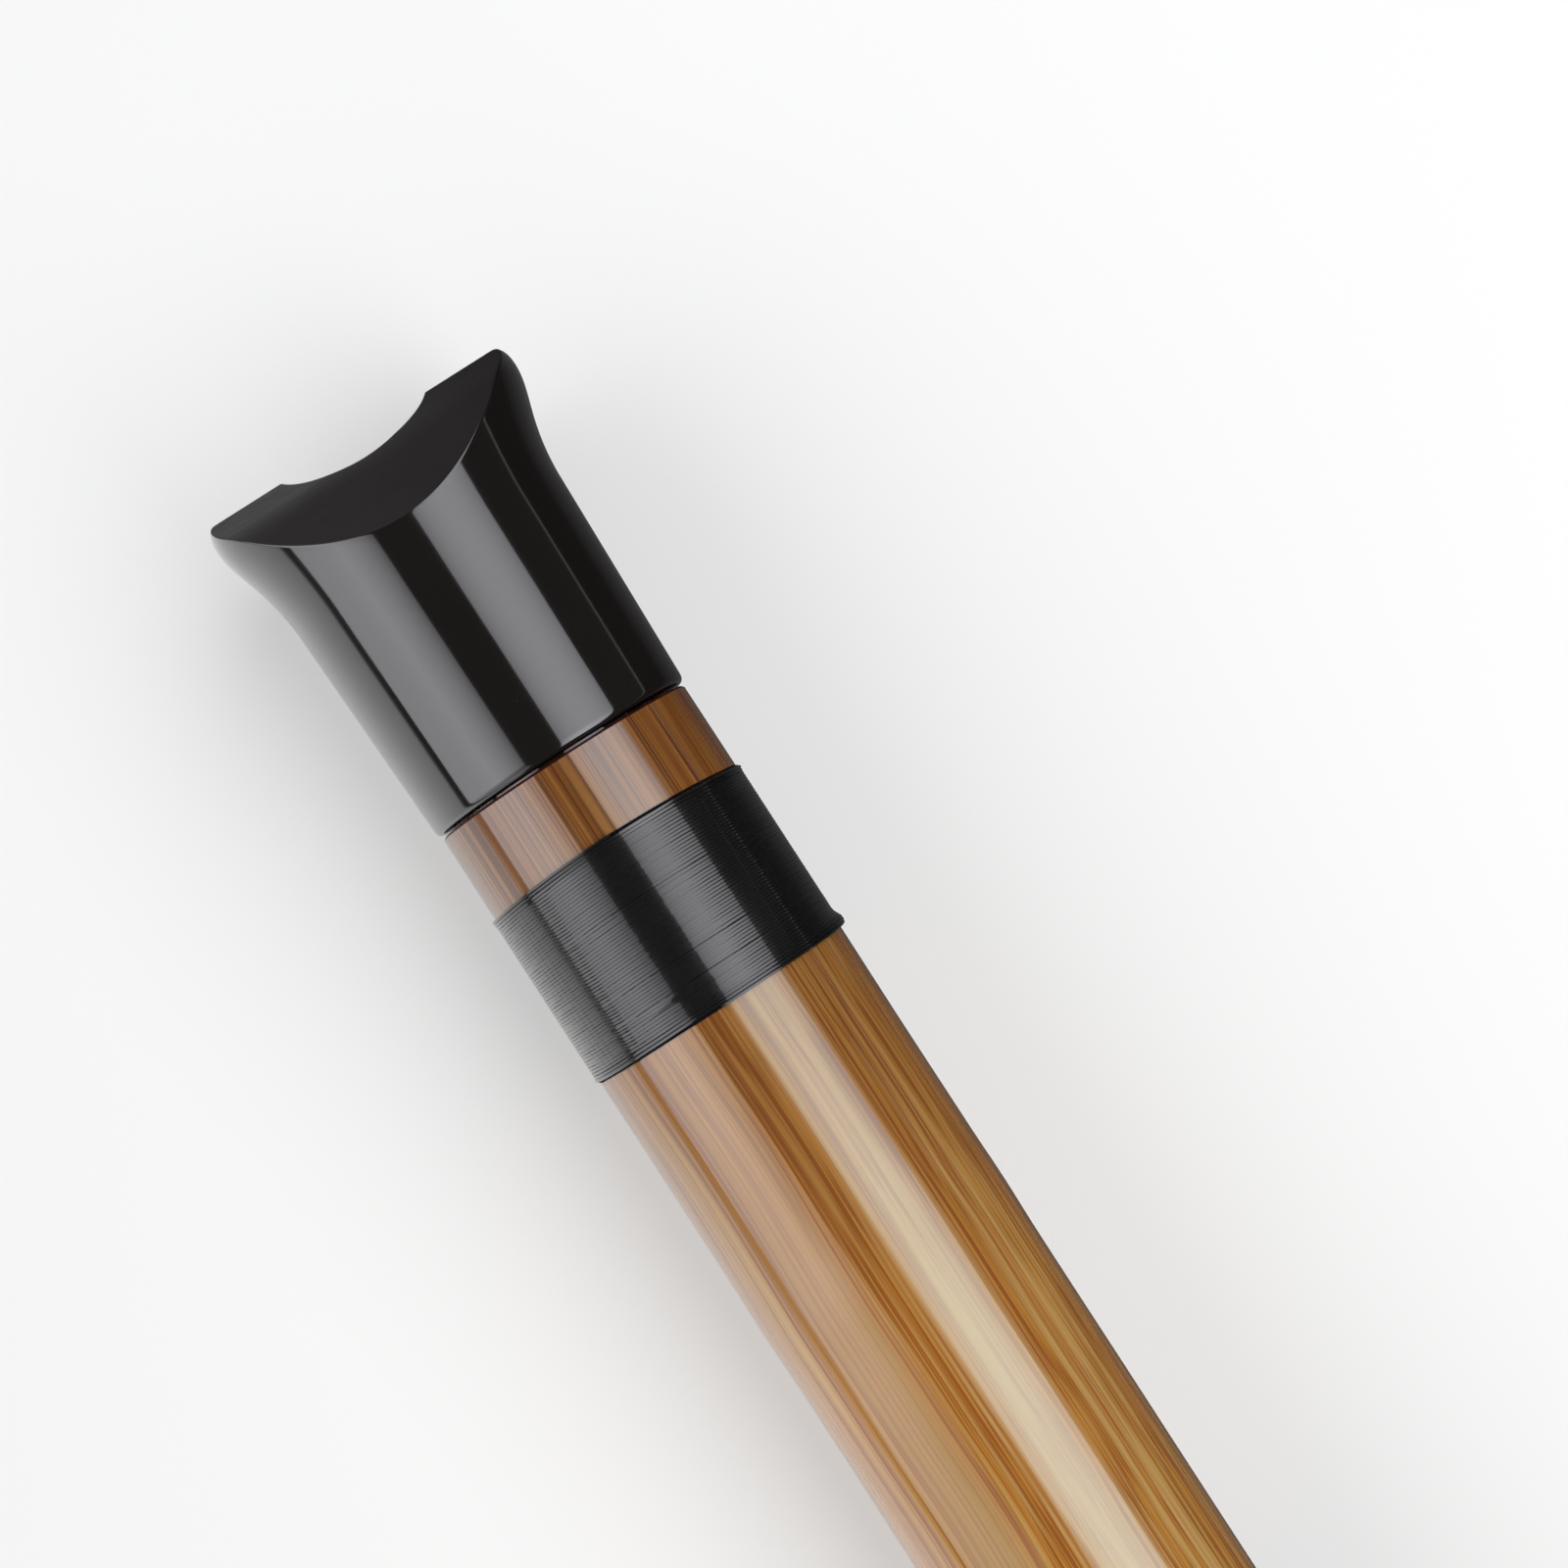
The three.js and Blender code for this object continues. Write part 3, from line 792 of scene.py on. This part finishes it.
def mouthpiece():
    """A spun tube of rows whose corners then take their places on the cut head."""
    materials = [GLOSS_RESIN, SATIN_RESIN]
    rows = len(head_section(0.0))
    satin_from = BORE_ROWS + BORE_EDGE_STEPS + 2
    satin_to = satin_from + TOP_ROWS + SATIN_EDGE_ROWS
    form = spun([(TUBE_RADIUS, row * ROW_STEP) for row in range(rows)], HEAD_SIDES)
    bmesh.ops.remove_doubles(form, verts=form.verts, dist=MERGE_DISTANCE)
    sections = {}
    row_of = {}
    for corner in form.verts:
        row = round((corner.co.x - head_top) / ROW_STEP)
        side = round(around(corner.co)[1] / (2 * math.pi) * HEAD_SIDES) % HEAD_SIDES
        angle = side * 2 * math.pi / HEAD_SIDES
        angle += COLUMN_CROWDING / 2 * math.sin(2 * angle)
        if side not in sections:
            sections[side] = head_section(angle)
        row_of[corner] = row
        radius, station = sections[side][row]
        corner.co = to_place(radius, angle, station)
    for face in form.faces:
        run = [row_of[corner] for corner in face.verts]
        if min(run) >= satin_from and max(run) <= satin_to:
            face.material_index = materials.index(SATIN_RESIN)
    bmesh.ops.recalc_face_normals(form, faces=form.faces)
    piece = made("mouthpiece_head", form, materials)
    settle(piece, "upper_section", "black_resin", "mouthpiece")


# Bamboo tubes

def bark(station):
    """Radius of the bamboo's outside at a station, with the low swell of its nodes."""
    radius = TUBE_RADIUS
    for node, height in NODES:
        away = abs(station - node) / (NODE_LENGTH / 2)
        if away < 1:
            radius += height * (1 + math.cos(math.pi * away)) / 2
    return radius


def bowed(station, angle):
    """How far the head binding's turns stand back from a flat ring, most of all at the sides."""
    start, end = UPPER_BANDS[0][1:3]
    share = (station - start) / (end - start)
    if not -SHARE_SLACK < share < 1 + SHARE_SLACK:
        return 0.0
    return (START_BOW + (END_BOW - START_BOW) * share) * math.sin(angle) ** 2


def bark_rows(start, end, bands):
    """Corners down the outside of one tube, with a shallow seat for each binding."""
    stops = [start] + [stop for band in bands for stop in band[1:3]] + [end]
    corners = []
    for number, (low, high) in enumerate(zip(stops, stops[1:])):
        steps = max(2, math.ceil((high - low) / ROW_STEP))
        drop = SEAT_DEPTH if number % 2 else 0.0
        for step in range(steps + 1):
            station = low + (high - low) * step / steps
            corners.append((bark(station) - drop, station))
    return corners


def drill(station, side):
    """A drill for a finger hole, whose mouth rolls over onto the bamboo all round."""
    mouth = []
    for step in range(HOLE_ROLL_STEPS + 1):
        turn = math.radians(HOLE_ROLL_START + HOLE_ROLL_TURN * step / HOLE_ROLL_STEPS)
        mouth.append((HOLE_RADIUS + HOLE_EDGE * (1 - math.sin(turn)), HOLE_EDGE * (math.cos(turn) - 1)))
    lip_radius, lip_height = mouth[0]
    chain = [(0.0, DRILL_TOP), (lip_radius + DRILL_TOP, DRILL_TOP)]
    chain += [(lip_radius + DRILL_FLARE[0], lip_height + DRILL_FLARE[1])] + mouth
    chain += [(HOLE_RADIUS, -DRILL_COLLAR), (HOLE_RADIUS, -DRILL_DEPTH), (0.0, -DRILL_DEPTH)]
    points = [(radius, 0, height) for radius, height in chain]
    form = closed_up(spun_chain(points, (0, 0, 0), (0, 0, 1), HOLE_SIDES, False))
    for corner in form.verts:
        if corner.co.z > -DRILL_DEPTH / 2:
            sag = math.sqrt(max(TUBE_RADIUS ** 2 - corner.co.y ** 2, 0)) - TUBE_RADIUS
            corner.co.z += sag
        corner.co.z += TUBE_RADIUS
    turned = Matrix.Rotation(0 if side > 0 else math.pi, 3, "X")
    bmesh.ops.rotate(form, verts=form.verts, cent=(0, 0, 0), matrix=turned)
    bmesh.ops.translate(form, verts=form.verts, vec=(head_top + station, 0, axis_height))
    bmesh.ops.recalc_face_normals(form, faces=form.faces)
    return made("drill", form, [CUT_BAMBOO])


def drilled(form, holes):
    """The tube with its finger holes cut."""
    body = made("blank", form, [BAMBOO])
    drills = [drill(station, side) for station, side in holes]
    for tool in drills:
        cut = body.modifiers.new("hole", "BOOLEAN")
        cut.operation = "DIFFERENCE"
        cut.solver = "EXACT"
        cut.object = tool
    view = bpy.context.evaluated_depsgraph_get()
    mesh = bpy.data.meshes.new_from_object(body.evaluated_get(view))
    result = bmesh.new()
    result.from_mesh(mesh)
    for leftover in [body] + drills:
        bpy.data.objects.remove(leftover, do_unlink=True)
    return result


def tube(name, outline, holes, body, node):
    """One section of the bamboo: slightly uneven outside, cut faces pale, bore lacquered."""
    materials = [BAMBOO, CUT_BAMBOO, BORE]
    form = drilled(closed_up(spun(outline, TUBE_SIDES)), holes)
    ends = (min(station for radius, station in outline), max(station for radius, station in outline))
    for face in form.faces:
        centre = face.calc_center_median()
        radius = around(centre)[0]
        station = centre.x - head_top
        near_end = min(station - ends[0], ends[1] - station) < END_FACE_DEPTH
        at_head = node == "upper_tube" and station < upper_start + END_FACE_DEPTH
        in_hole = any(
            math.hypot(station - hole, centre.y) < HOLE_RADIUS + HOLE_WALL_SLACK
            and (centre.z - axis_height) * side > 0
            for hole, side in holes
        )
        if at_head or radius < TUBE_RADIUS - BORE_BELOW:
            face.material_index = materials.index(BORE)
        if in_hole or (near_end and not at_head and radius > JOINT_BORE):
            face.material_index = materials.index(CUT_BAMBOO)
    for corner in form.verts:
        radius, angle = around(corner.co)
        if radius > TUBE_RADIUS - OUTSIDE_WITHIN:
            station = corner.co.x - head_top
            across, upward = math.sin(angle) * WAVES_ROUND, math.cos(angle) * WAVES_ROUND
            uneven = UNEVENNESS * noise.noise(Vector((station * WAVES_ALONG, across, upward)))
            corner.co = to_place(radius + uneven, angle, station + bowed(station, angle))
    piece = made(name, form, materials)
    settle(piece, body, "lacquered_bamboo", node)


def upper_tube():
    """The upper bamboo, opened out for the head's spigot and for the tenon."""
    rebate = JOINT_STATION - RING_LENGTH - GLUE_GAP
    rebate_radius = RING_RADIUS - RING_WALL - GLUE_GAP
    tenon_seat = JOINT_STATION - TENON_ROOT - GLUE_GAP
    counterbore = HEAD_LENGTH + SPIGOT_LENGTH + GLUE_GAP
    outline = [(TUBE_RADIUS - HEAD_CHAMFER, upper_start)]
    outline += bark_rows(upper_start + HEAD_CHAMFER, rebate, UPPER_BANDS)
    outline += [
        (rebate_radius, rebate),
        (rebate_radius, JOINT_STATION),
        (TENON_RADIUS + GLUE_GAP, JOINT_STATION),
        (TENON_RADIUS + GLUE_GAP, tenon_seat),
    ]
    outline += straight((JOINT_BORE, tenon_seat), (HEAD_BORE, counterbore), UPPER_BORE_STEPS)
    outline += [(SPIGOT_RADIUS + GLUE_GAP, counterbore), (SPIGOT_RADIUS + GLUE_GAP, upper_start)]
    tube("upper_bamboo", outline, UPPER_HOLES, "upper_section", "upper_tube")


def lower_tube():
    """The lower bamboo, with the socket, and the throat of its bore."""
    rebate = lower_start + RING_LENGTH + GLUE_GAP
    rebate_radius = RING_RADIUS - RING_WALL - GLUE_GAP
    socket_end = JOINT_STATION + TENON_REACH + SOCKET_BOTTOM_GAP
    sawn = FLUTE_LENGTH - FOOT_CHAMFER
    throat = (THROAT_BORE, THROAT_STATION)
    outline = [(rebate_radius, lower_start), (rebate_radius, rebate)]
    outline += bark_rows(rebate, sawn, LOWER_BANDS)
    outline += [(TUBE_RADIUS - FOOT_CHAMFER, FLUTE_LENGTH), (FOOT_BORE + FOOT_CHAMFER, FLUTE_LENGTH)]
    outline += straight((FOOT_BORE, sawn), throat, FOOT_BORE_STEPS)
    outline += straight(throat, (JOINT_BORE, socket_end), THROAT_BORE_STEPS)
    outline += [(SOCKET_RADIUS, socket_end), (SOCKET_RADIUS, lower_start)]
    outline = [point for point, after in zip(outline, outline[1:] + outline[:1]) if point != after]
    tube("lower_bamboo", outline, LOWER_HOLES, "lower_section", "lower_tube")


# Thread

def wound(start, end, turns, outer, seed, flat=THREAD_FLAT, uneven=THREAD_UNEVEN, shoulder=THREAD_SHOULDER):
    """One thread laid turn beside turn from start to end, pressed flat and a little unevenly."""
    pitch = (end - start) / (turns + 1)
    half = pitch * THREAD_FILL / 2
    centre = outer - half
    form = bmesh.new()
    bmesh.ops.create_circle(
        form, cap_ends=False, radius=half, segments=THREAD_SIDES,
        matrix=Matrix.Translation((head_top + start + pitch / 2, 0, axis_height + centre))
        @ Matrix.Rotation(math.pi / 2, 4, "X"),
    )
    bmesh.ops.spin(
        form, geom=form.verts[:] + form.edges[:], cent=(0, 0, axis_height), axis=(1, 0, 0),
        dvec=(pitch / THREAD_STEPS, 0, 0), angle=2 * math.pi, steps=THREAD_STEPS,
        use_merge=False, use_duplicate=False, use_normal_flip=False,
    )
    turn_form = form.verts[:] + form.edges[:] + form.faces[:]
    for turn in range(1, turns):
        copy = bmesh.ops.duplicate(form, geom=turn_form)["geom"]
        corners = [item for item in copy if isinstance(item, bmesh.types.BMVert)]
        bmesh.ops.translate(form, verts=corners, vec=(turn * pitch, 0, 0))
    bmesh.ops.remove_doubles(form, verts=form.verts, dist=MERGE_DISTANCE)
    bmesh.ops.holes_fill(form, edges=[edge for edge in form.edges if edge.is_boundary], sides=0)
    bmesh.ops.recalc_face_normals(form, faces=form.faces)
    direction = spin_direction(form, start, pitch, centre)
    for corner in form.verts:
        radius, angle = around(corner.co)
        station = corner.co.x - head_top
        lap = (direction * angle / (2 * math.pi)) % 1
        turn = round((station - start - pitch / 2) / pitch - lap) + lap
        across, upward = ROUND_RATE * math.sin(angle), ROUND_RATE * math.cos(angle)
        wander = noise.noise(Vector((turn * WANDER_RATE, seed + across, upward)))
        shift = uneven * noise.noise(Vector((turn * SHIFT_RATE, seed, 0)))
        shift += WANDER_SHARE * uneven * wander
        for share in PARTING_SHARES:
            beyond = turn - turns * share
            shift += PARTING / 2 * math.tanh(beyond / PARTING_TURNS) * math.exp(-abs(beyond) / PARTING_FADE)
        near_end = min(max(1 - turn / END_TURNS, 1 - (turns - turn) / END_TURNS, 0), 1)
        press = flat + (END_FLAT - flat) * near_end
        off_middle = (station - start - pitch / 2 - turn * pitch) / half
        if SHOULDER_FROM < abs(off_middle) < SHOULDER_TO:
            squarer = (shoulder - ROUND_SHOULDER) * (1 - near_end)
            shift += math.copysign(squarer, off_middle) * half
        rise = noise.noise(Vector((turn * LIFT_RATE, seed + across, LIFT_OFFSET + upward)))
        top = outer + LIFT_SHARE * uneven * rise
        corner.co = to_place(top - (centre + half - radius) * press, angle, station + shift)
    return form


def spin_direction(form, start, pitch, centre):
    """1 where the thread climbs towards +Y from the top, and -1 where it climbs the other way."""
    quarter = pitch / 2 + pitch / 4
    probe = min(
        form.verts,
        key=lambda corner: abs(corner.co.x - head_top - start - quarter)
        + abs(around(corner.co)[0] - centre) + abs(abs(around(corner.co)[1]) - math.pi / 2),
    )
    return 1 if probe.co.y > 0 else -1


def core(form, start, end, seat, outer, bow=False):
    """The layer of thread under the one that shows, as one ring of the second material."""
    start += LAYER_INSET
    end -= LAYER_INSET
    inner = seat + LAYER_CLEARANCE
    edge = (outer - inner) / 4
    layer = spun([
        (inner, start), (outer - edge, start), (outer, start + edge),
        (outer, end - edge), (outer - edge, end), (inner, end),
    ], LAYER_SIDES)
    closed_up(layer)
    for face in layer.faces:
        face.material_index = 1
    if bow:
        for corner in layer.verts:
            radius, angle = around(corner.co)
            station = corner.co.x - head_top
            corner.co = to_place(radius, angle, station + bowed(station, angle))
    mesh = bpy.data.meshes.new("layer")
    layer.to_mesh(mesh)
    layer.free()
    form.from_mesh(mesh)
    bpy.data.meshes.remove(mesh)


def binding(place, body, seed):
    """A black thread binding over its seat."""
    name, start, end, turns = place
    at_head = name == "head_binding"
    form = wound(start, end, turns, BAND_RADIUS, seed)
    for corner in form.verts:
        radius, angle = around(corner.co)
        station = corner.co.x - head_top
        edge = min(station - start, end - station)
        lift = LIP_HEIGHT * math.exp(-(edge / LIP_REACH) ** 2)
        if at_head:
            away = ((angle - KNOT_ANGLE) / KNOT_SPREAD) ** 2
            away += ((station - end + KNOT_SETBACK) / KNOT_REACH) ** 2
            lift += KNOT_HEIGHT * math.exp(-away)
            away = ((angle - TUCK_ANGLE) / TUCK_SPREAD) ** 2 + ((station - TUCK_STATION) / TUCK_REACH) ** 2
            lift += TUCK_HEIGHT * math.exp(-away)
            station += bowed(station, angle)
        corner.co = to_place(radius + lift, angle, station)
    # The layer under the turns takes the dull black that paints the shade in the gaps between them.
    core(form, start, end, TUBE_RADIUS - SEAT_DEPTH, BAND_RADIUS - LAYER_DEPTH, at_head)
    piece = made(name + "_thread", form, [THREAD, THREAD_SHADOW], THREAD_SHARP_EDGE)
    settle(piece, body, "black_thread", name)


# Middle joint

def ring(name, start, end, body, node):
    """A ring of the joint, whose outer corners are rounded."""
    inner = RING_RADIUS - RING_WALL
    inset = RING_RADIUS - RING_EDGE
    outline = [(inner, start)]
    outline += rounding((inset, start), (RING_RADIUS, start), (RING_RADIUS, start + RING_EDGE))
    outline += rounding((RING_RADIUS, end - RING_EDGE), (RING_RADIUS, end), (inset, end))
    outline.append((inner, end))
    form = closed_up(spun(outline, TUBE_SIDES))
    settle(made(name, form, [RINGS]), body, "black_lacquer", node)


def tenon():
    """The sleeve of the joint, and its waxed lapping in a groove."""
    start = JOINT_STATION - TENON_ROOT
    end = JOINT_STATION + TENON_REACH
    groove_end = end - LAPPING_SETBACK
    groove_start = groove_end - LAPPING_WIDTH
    floor = TENON_RADIUS - LAPPING_GROOVE
    outline = [
        (TENON_RADIUS, start),
        (TENON_RADIUS, JOINT_STATION),
        (TENON_RADIUS, groove_start - GLUE_GAP),
        (floor, groove_start - GLUE_GAP),
        (floor, groove_end + GLUE_GAP),
        (TENON_RADIUS, groove_end + GLUE_GAP),
    ]
    lead = (TENON_RADIUS - TENON_LEAD, end)
    outline += rounding((TENON_RADIUS, end - TENON_LEAD), (TENON_RADIUS, end), lead)
    outline += [(JOINT_BORE, end), (JOINT_BORE, start)]
    form = closed_up(spun(outline, TUBE_SIDES))
    settle(made("tenon_sleeve", form, [GLOSS_RESIN]), "upper_section", "black_resin", "joint_tenon")
    form = wound(
        groove_start, groove_end, LAPPING_TURNS, LAPPING_RADIUS, LAPPING_SEED,
        LAPPING_FLAT, LAPPING_UNEVEN, ROUND_SHOULDER,
    )
    core(form, groove_start, groove_end, floor, LAPPING_RADIUS - LAPPING_LAYER_DEPTH)
    piece = made("tenon_thread", form, [WAXED, WAXED], LAPPING_SHARP_EDGE)
    settle(piece, "upper_section", "waxed_thread", "tenon_lapping")


mouthpiece()
upper_tube()
lower_tube()
for bands, body, first_seed in (
    (UPPER_BANDS, "upper_section", 1),
    (LOWER_BANDS, "lower_section", FIRST_LOWER_SEED),
):
    for seed, place in enumerate(bands, first_seed):
        binding(place, body, seed)
ring("upper_ring", JOINT_STATION - RING_LENGTH, JOINT_STATION, "upper_section", "upper_joint_ring")
ring("lower_ring", lower_start, lower_start + RING_LENGTH, "lower_section", "lower_joint_ring")
tenon()


# Studio

def sheet_of(low, high, height):
    """A flat card between two corners (x, y)."""
    form = bmesh.new()
    bmesh.ops.create_grid(form, x_segments=1, y_segments=1, size=0.5)
    bmesh.ops.scale(form, verts=form.verts, vec=(high[0] - low[0], high[1] - low[1], 1))
    centre = ((high[0] + low[0]) / 2, (high[1] + low[1]) / 2, height)
    bmesh.ops.translate(form, verts=form.verts, vec=centre)
    return form


def pale_floor():
    """The pale floor. To the camera it glows more and more away from the flute."""
    material, tree, shader, place = finish_start("pale_floor")
    cloud = grain(tree, place, (1, 1, 1), 6, 2, 0.5)
    colour = blend_colour(tree, cloud, linear(243, 244, 240), linear(247, 248, 244))
    roughness = spread(tree, cloud, *WHOLE_RANGE, 0.85, 0.95)
    dress(tree, shader, colour, roughness, None, {"Specular IOR Level": 0.1})
    away = add(tree, "ShaderNodeVectorMath", {0: place}, operation="LENGTH").outputs["Value"]
    share = spread(tree, away, PALE_FROM, PALE_TO, PALE_NEAR_SHARE, 1.0)
    share = product(tree, share, add(tree, "ShaderNodeLightPath").outputs["Is Camera Ray"])
    glow = blend_colour(tree, cloud, linear(246, 246, 246), linear(250, 250, 250))
    glow = add(tree, "ShaderNodeEmission", {"Color": glow}).outputs["Emission"]
    mixed = add(tree, "ShaderNodeMixShader", {"Fac": share, 1: shader.outputs["BSDF"], 2: glow})
    feed(tree, tree.nodes["Material Output"], {"Surface": mixed.outputs["Shader"]})
    sheet = sheet_of((-FLOOR_REACH, -FLOOR_REACH), (FLOOR_REACH, FLOOR_REACH), -FLOOR_DROP)
    floor = made("floor", sheet, [material])


def dark_card(name):
    """A dark card that only shows in polished surfaces, where it paints a dark reflection along the flute's
    right side, a little paler beside the flute as a painted reflection of the floor there.
    """
    material, tree, shader, place = finish_start(name)
    cloud = grain(tree, place, (1, 1, 1), 9, 2, 0.5)
    near = spread(tree, parts_of(tree, place)["Y"], CARD_PALE_FROM, CARD_PALE_TO)
    colour = blend_colour(tree, cloud, linear(34, 34, 34), linear(40, 40, 40))
    colour = blend_colour(tree, near, colour, linear(84, 84, 84))
    roughness = spread(tree, cloud, *WHOLE_RANGE, 0.9, 1.0)
    dress(tree, shader, colour, roughness, None, {"Specular IOR Level": 0.0})
    card = made(name, sheet_of(CARD_LOW, CARD_HIGH, CARD_HEIGHT), [material])
    card.visible_camera = False
    card.visible_diffuse = False
    card.visible_transmission = False
    card.visible_shadow = False


def softbox(name, edges, length, falloff, run):
    """A long soft lamp beside the flute, between its low and its high edge."""
    low, high = Vector(edges[0]), Vector(edges[1])
    peak, low_rim, high_rim, curve = falloff
    far_share, far_from, far_to = run
    width = (high - low).length
    lamp = bpy.data.lights.new(name, "AREA")
    lamp.shape = "RECTANGLE"
    lamp.size = length
    lamp.size_y = width
    lamp.energy = LAMP_POWER * length * width
    lamp.color = LAMP_TINT
    across = Vector((0, high.x - low.x, high.y - low.y)).normalized()
    along_flute = Vector((1, 0, 0))
    back = along_flute.cross(across)
    centre = Vector((LAMP_MIDDLE, (low.x + high.x) / 2, (low.y + high.y) / 2))
    if back.dot(Vector((LAMP_MIDDLE, 0, axis_height)) - centre) > 0:
        along_flute = -along_flute
        back = -back
    turned = Matrix((along_flute, across, back)).transposed().to_4x4()
    holder = bpy.data.objects.new(name, lamp)
    holder.matrix_world = Matrix.Translation(centre) @ turned
    holder.visible_camera = False
    bpy.context.scene.collection.objects.link(holder)
    lamp.use_nodes = True
    tree = lamp.node_tree
    parts = parts_of(tree, add(tree, "ShaderNodeNewGeometry").outputs["Parametric"])
    run_start, run_end = [
        0.5 + along_flute.x * (station + head_top - LAMP_MIDDLE) / length for station in (far_from, far_to)
    ]
    strength = spread(tree, parts["X"], run_start, run_end, 1.0, far_share)
    for edge, rim in ((0.0, low_rim), (1.0, high_rim)):
        away = arithmetic(tree, "POWER", spread(tree, parts["Y"], peak, edge), curve)
        strength = product(tree, strength, spread(tree, away, *WHOLE_RANGE, 1.0, rim))
    feed(tree, tree.nodes["Emission"], {"Strength": strength})


pale_floor()
dark_card("right_reflection_card")
softbox("left_softbox", LEFT_EDGES, LEFT_LENGTH, LEFT_FALLOFF, LEFT_RUN)
softbox("right_softbox", RIGHT_EDGES, RIGHT_LENGTH, RIGHT_FALLOFF, RIGHT_RUN)

world = bpy.data.worlds.new("studio")
world.use_nodes = True
bpy.context.scene.world = world
sky = world.node_tree
rays = add(sky, "ShaderNodeLightPath").outputs
shade = blend_colour(sky, rays["Is Glossy Ray"], WORLD_MATT, WORLD_POLISHED)
shade = blend_colour(sky, rays["Is Camera Ray"], shade, WORLD_SEEN)
feed(sky, sky.nodes["Background"], {"Color": shade, "Strength": 1.0})

camera_data = bpy.data.cameras.new("camera")
camera_data.lens = LENS
camera_data.sensor_width = SENSOR_WIDTH
camera_data.clip_start = CLIP_START
camera_data.clip_end = CLIP_END
camera = bpy.data.objects.new("camera", camera_data)
bpy.context.scene.collection.objects.link(camera)
side_way = Vector((0, math.cos(ROLL), math.sin(ROLL)))
flute_way = Vector((1, 0, 0))
away = flute_way.cross(side_way)
right = flute_way * ALONG_IN_PICTURE.x - side_way * ALONG_IN_PICTURE.y
up = flute_way * ALONG_IN_PICTURE.y + side_way * ALONG_IN_PICTURE.x
spot = Vector((head_top + CAMERA_STATION, 0, axis_height)) + side_way * CAMERA_SIDE + away * CAMERA_HEIGHT
camera.matrix_world = Matrix.Translation(spot) @ Matrix((right, up, away)).transposed().to_4x4()
bpy.context.scene.camera = camera

bpy.context.scene.view_settings.view_transform = "Standard"
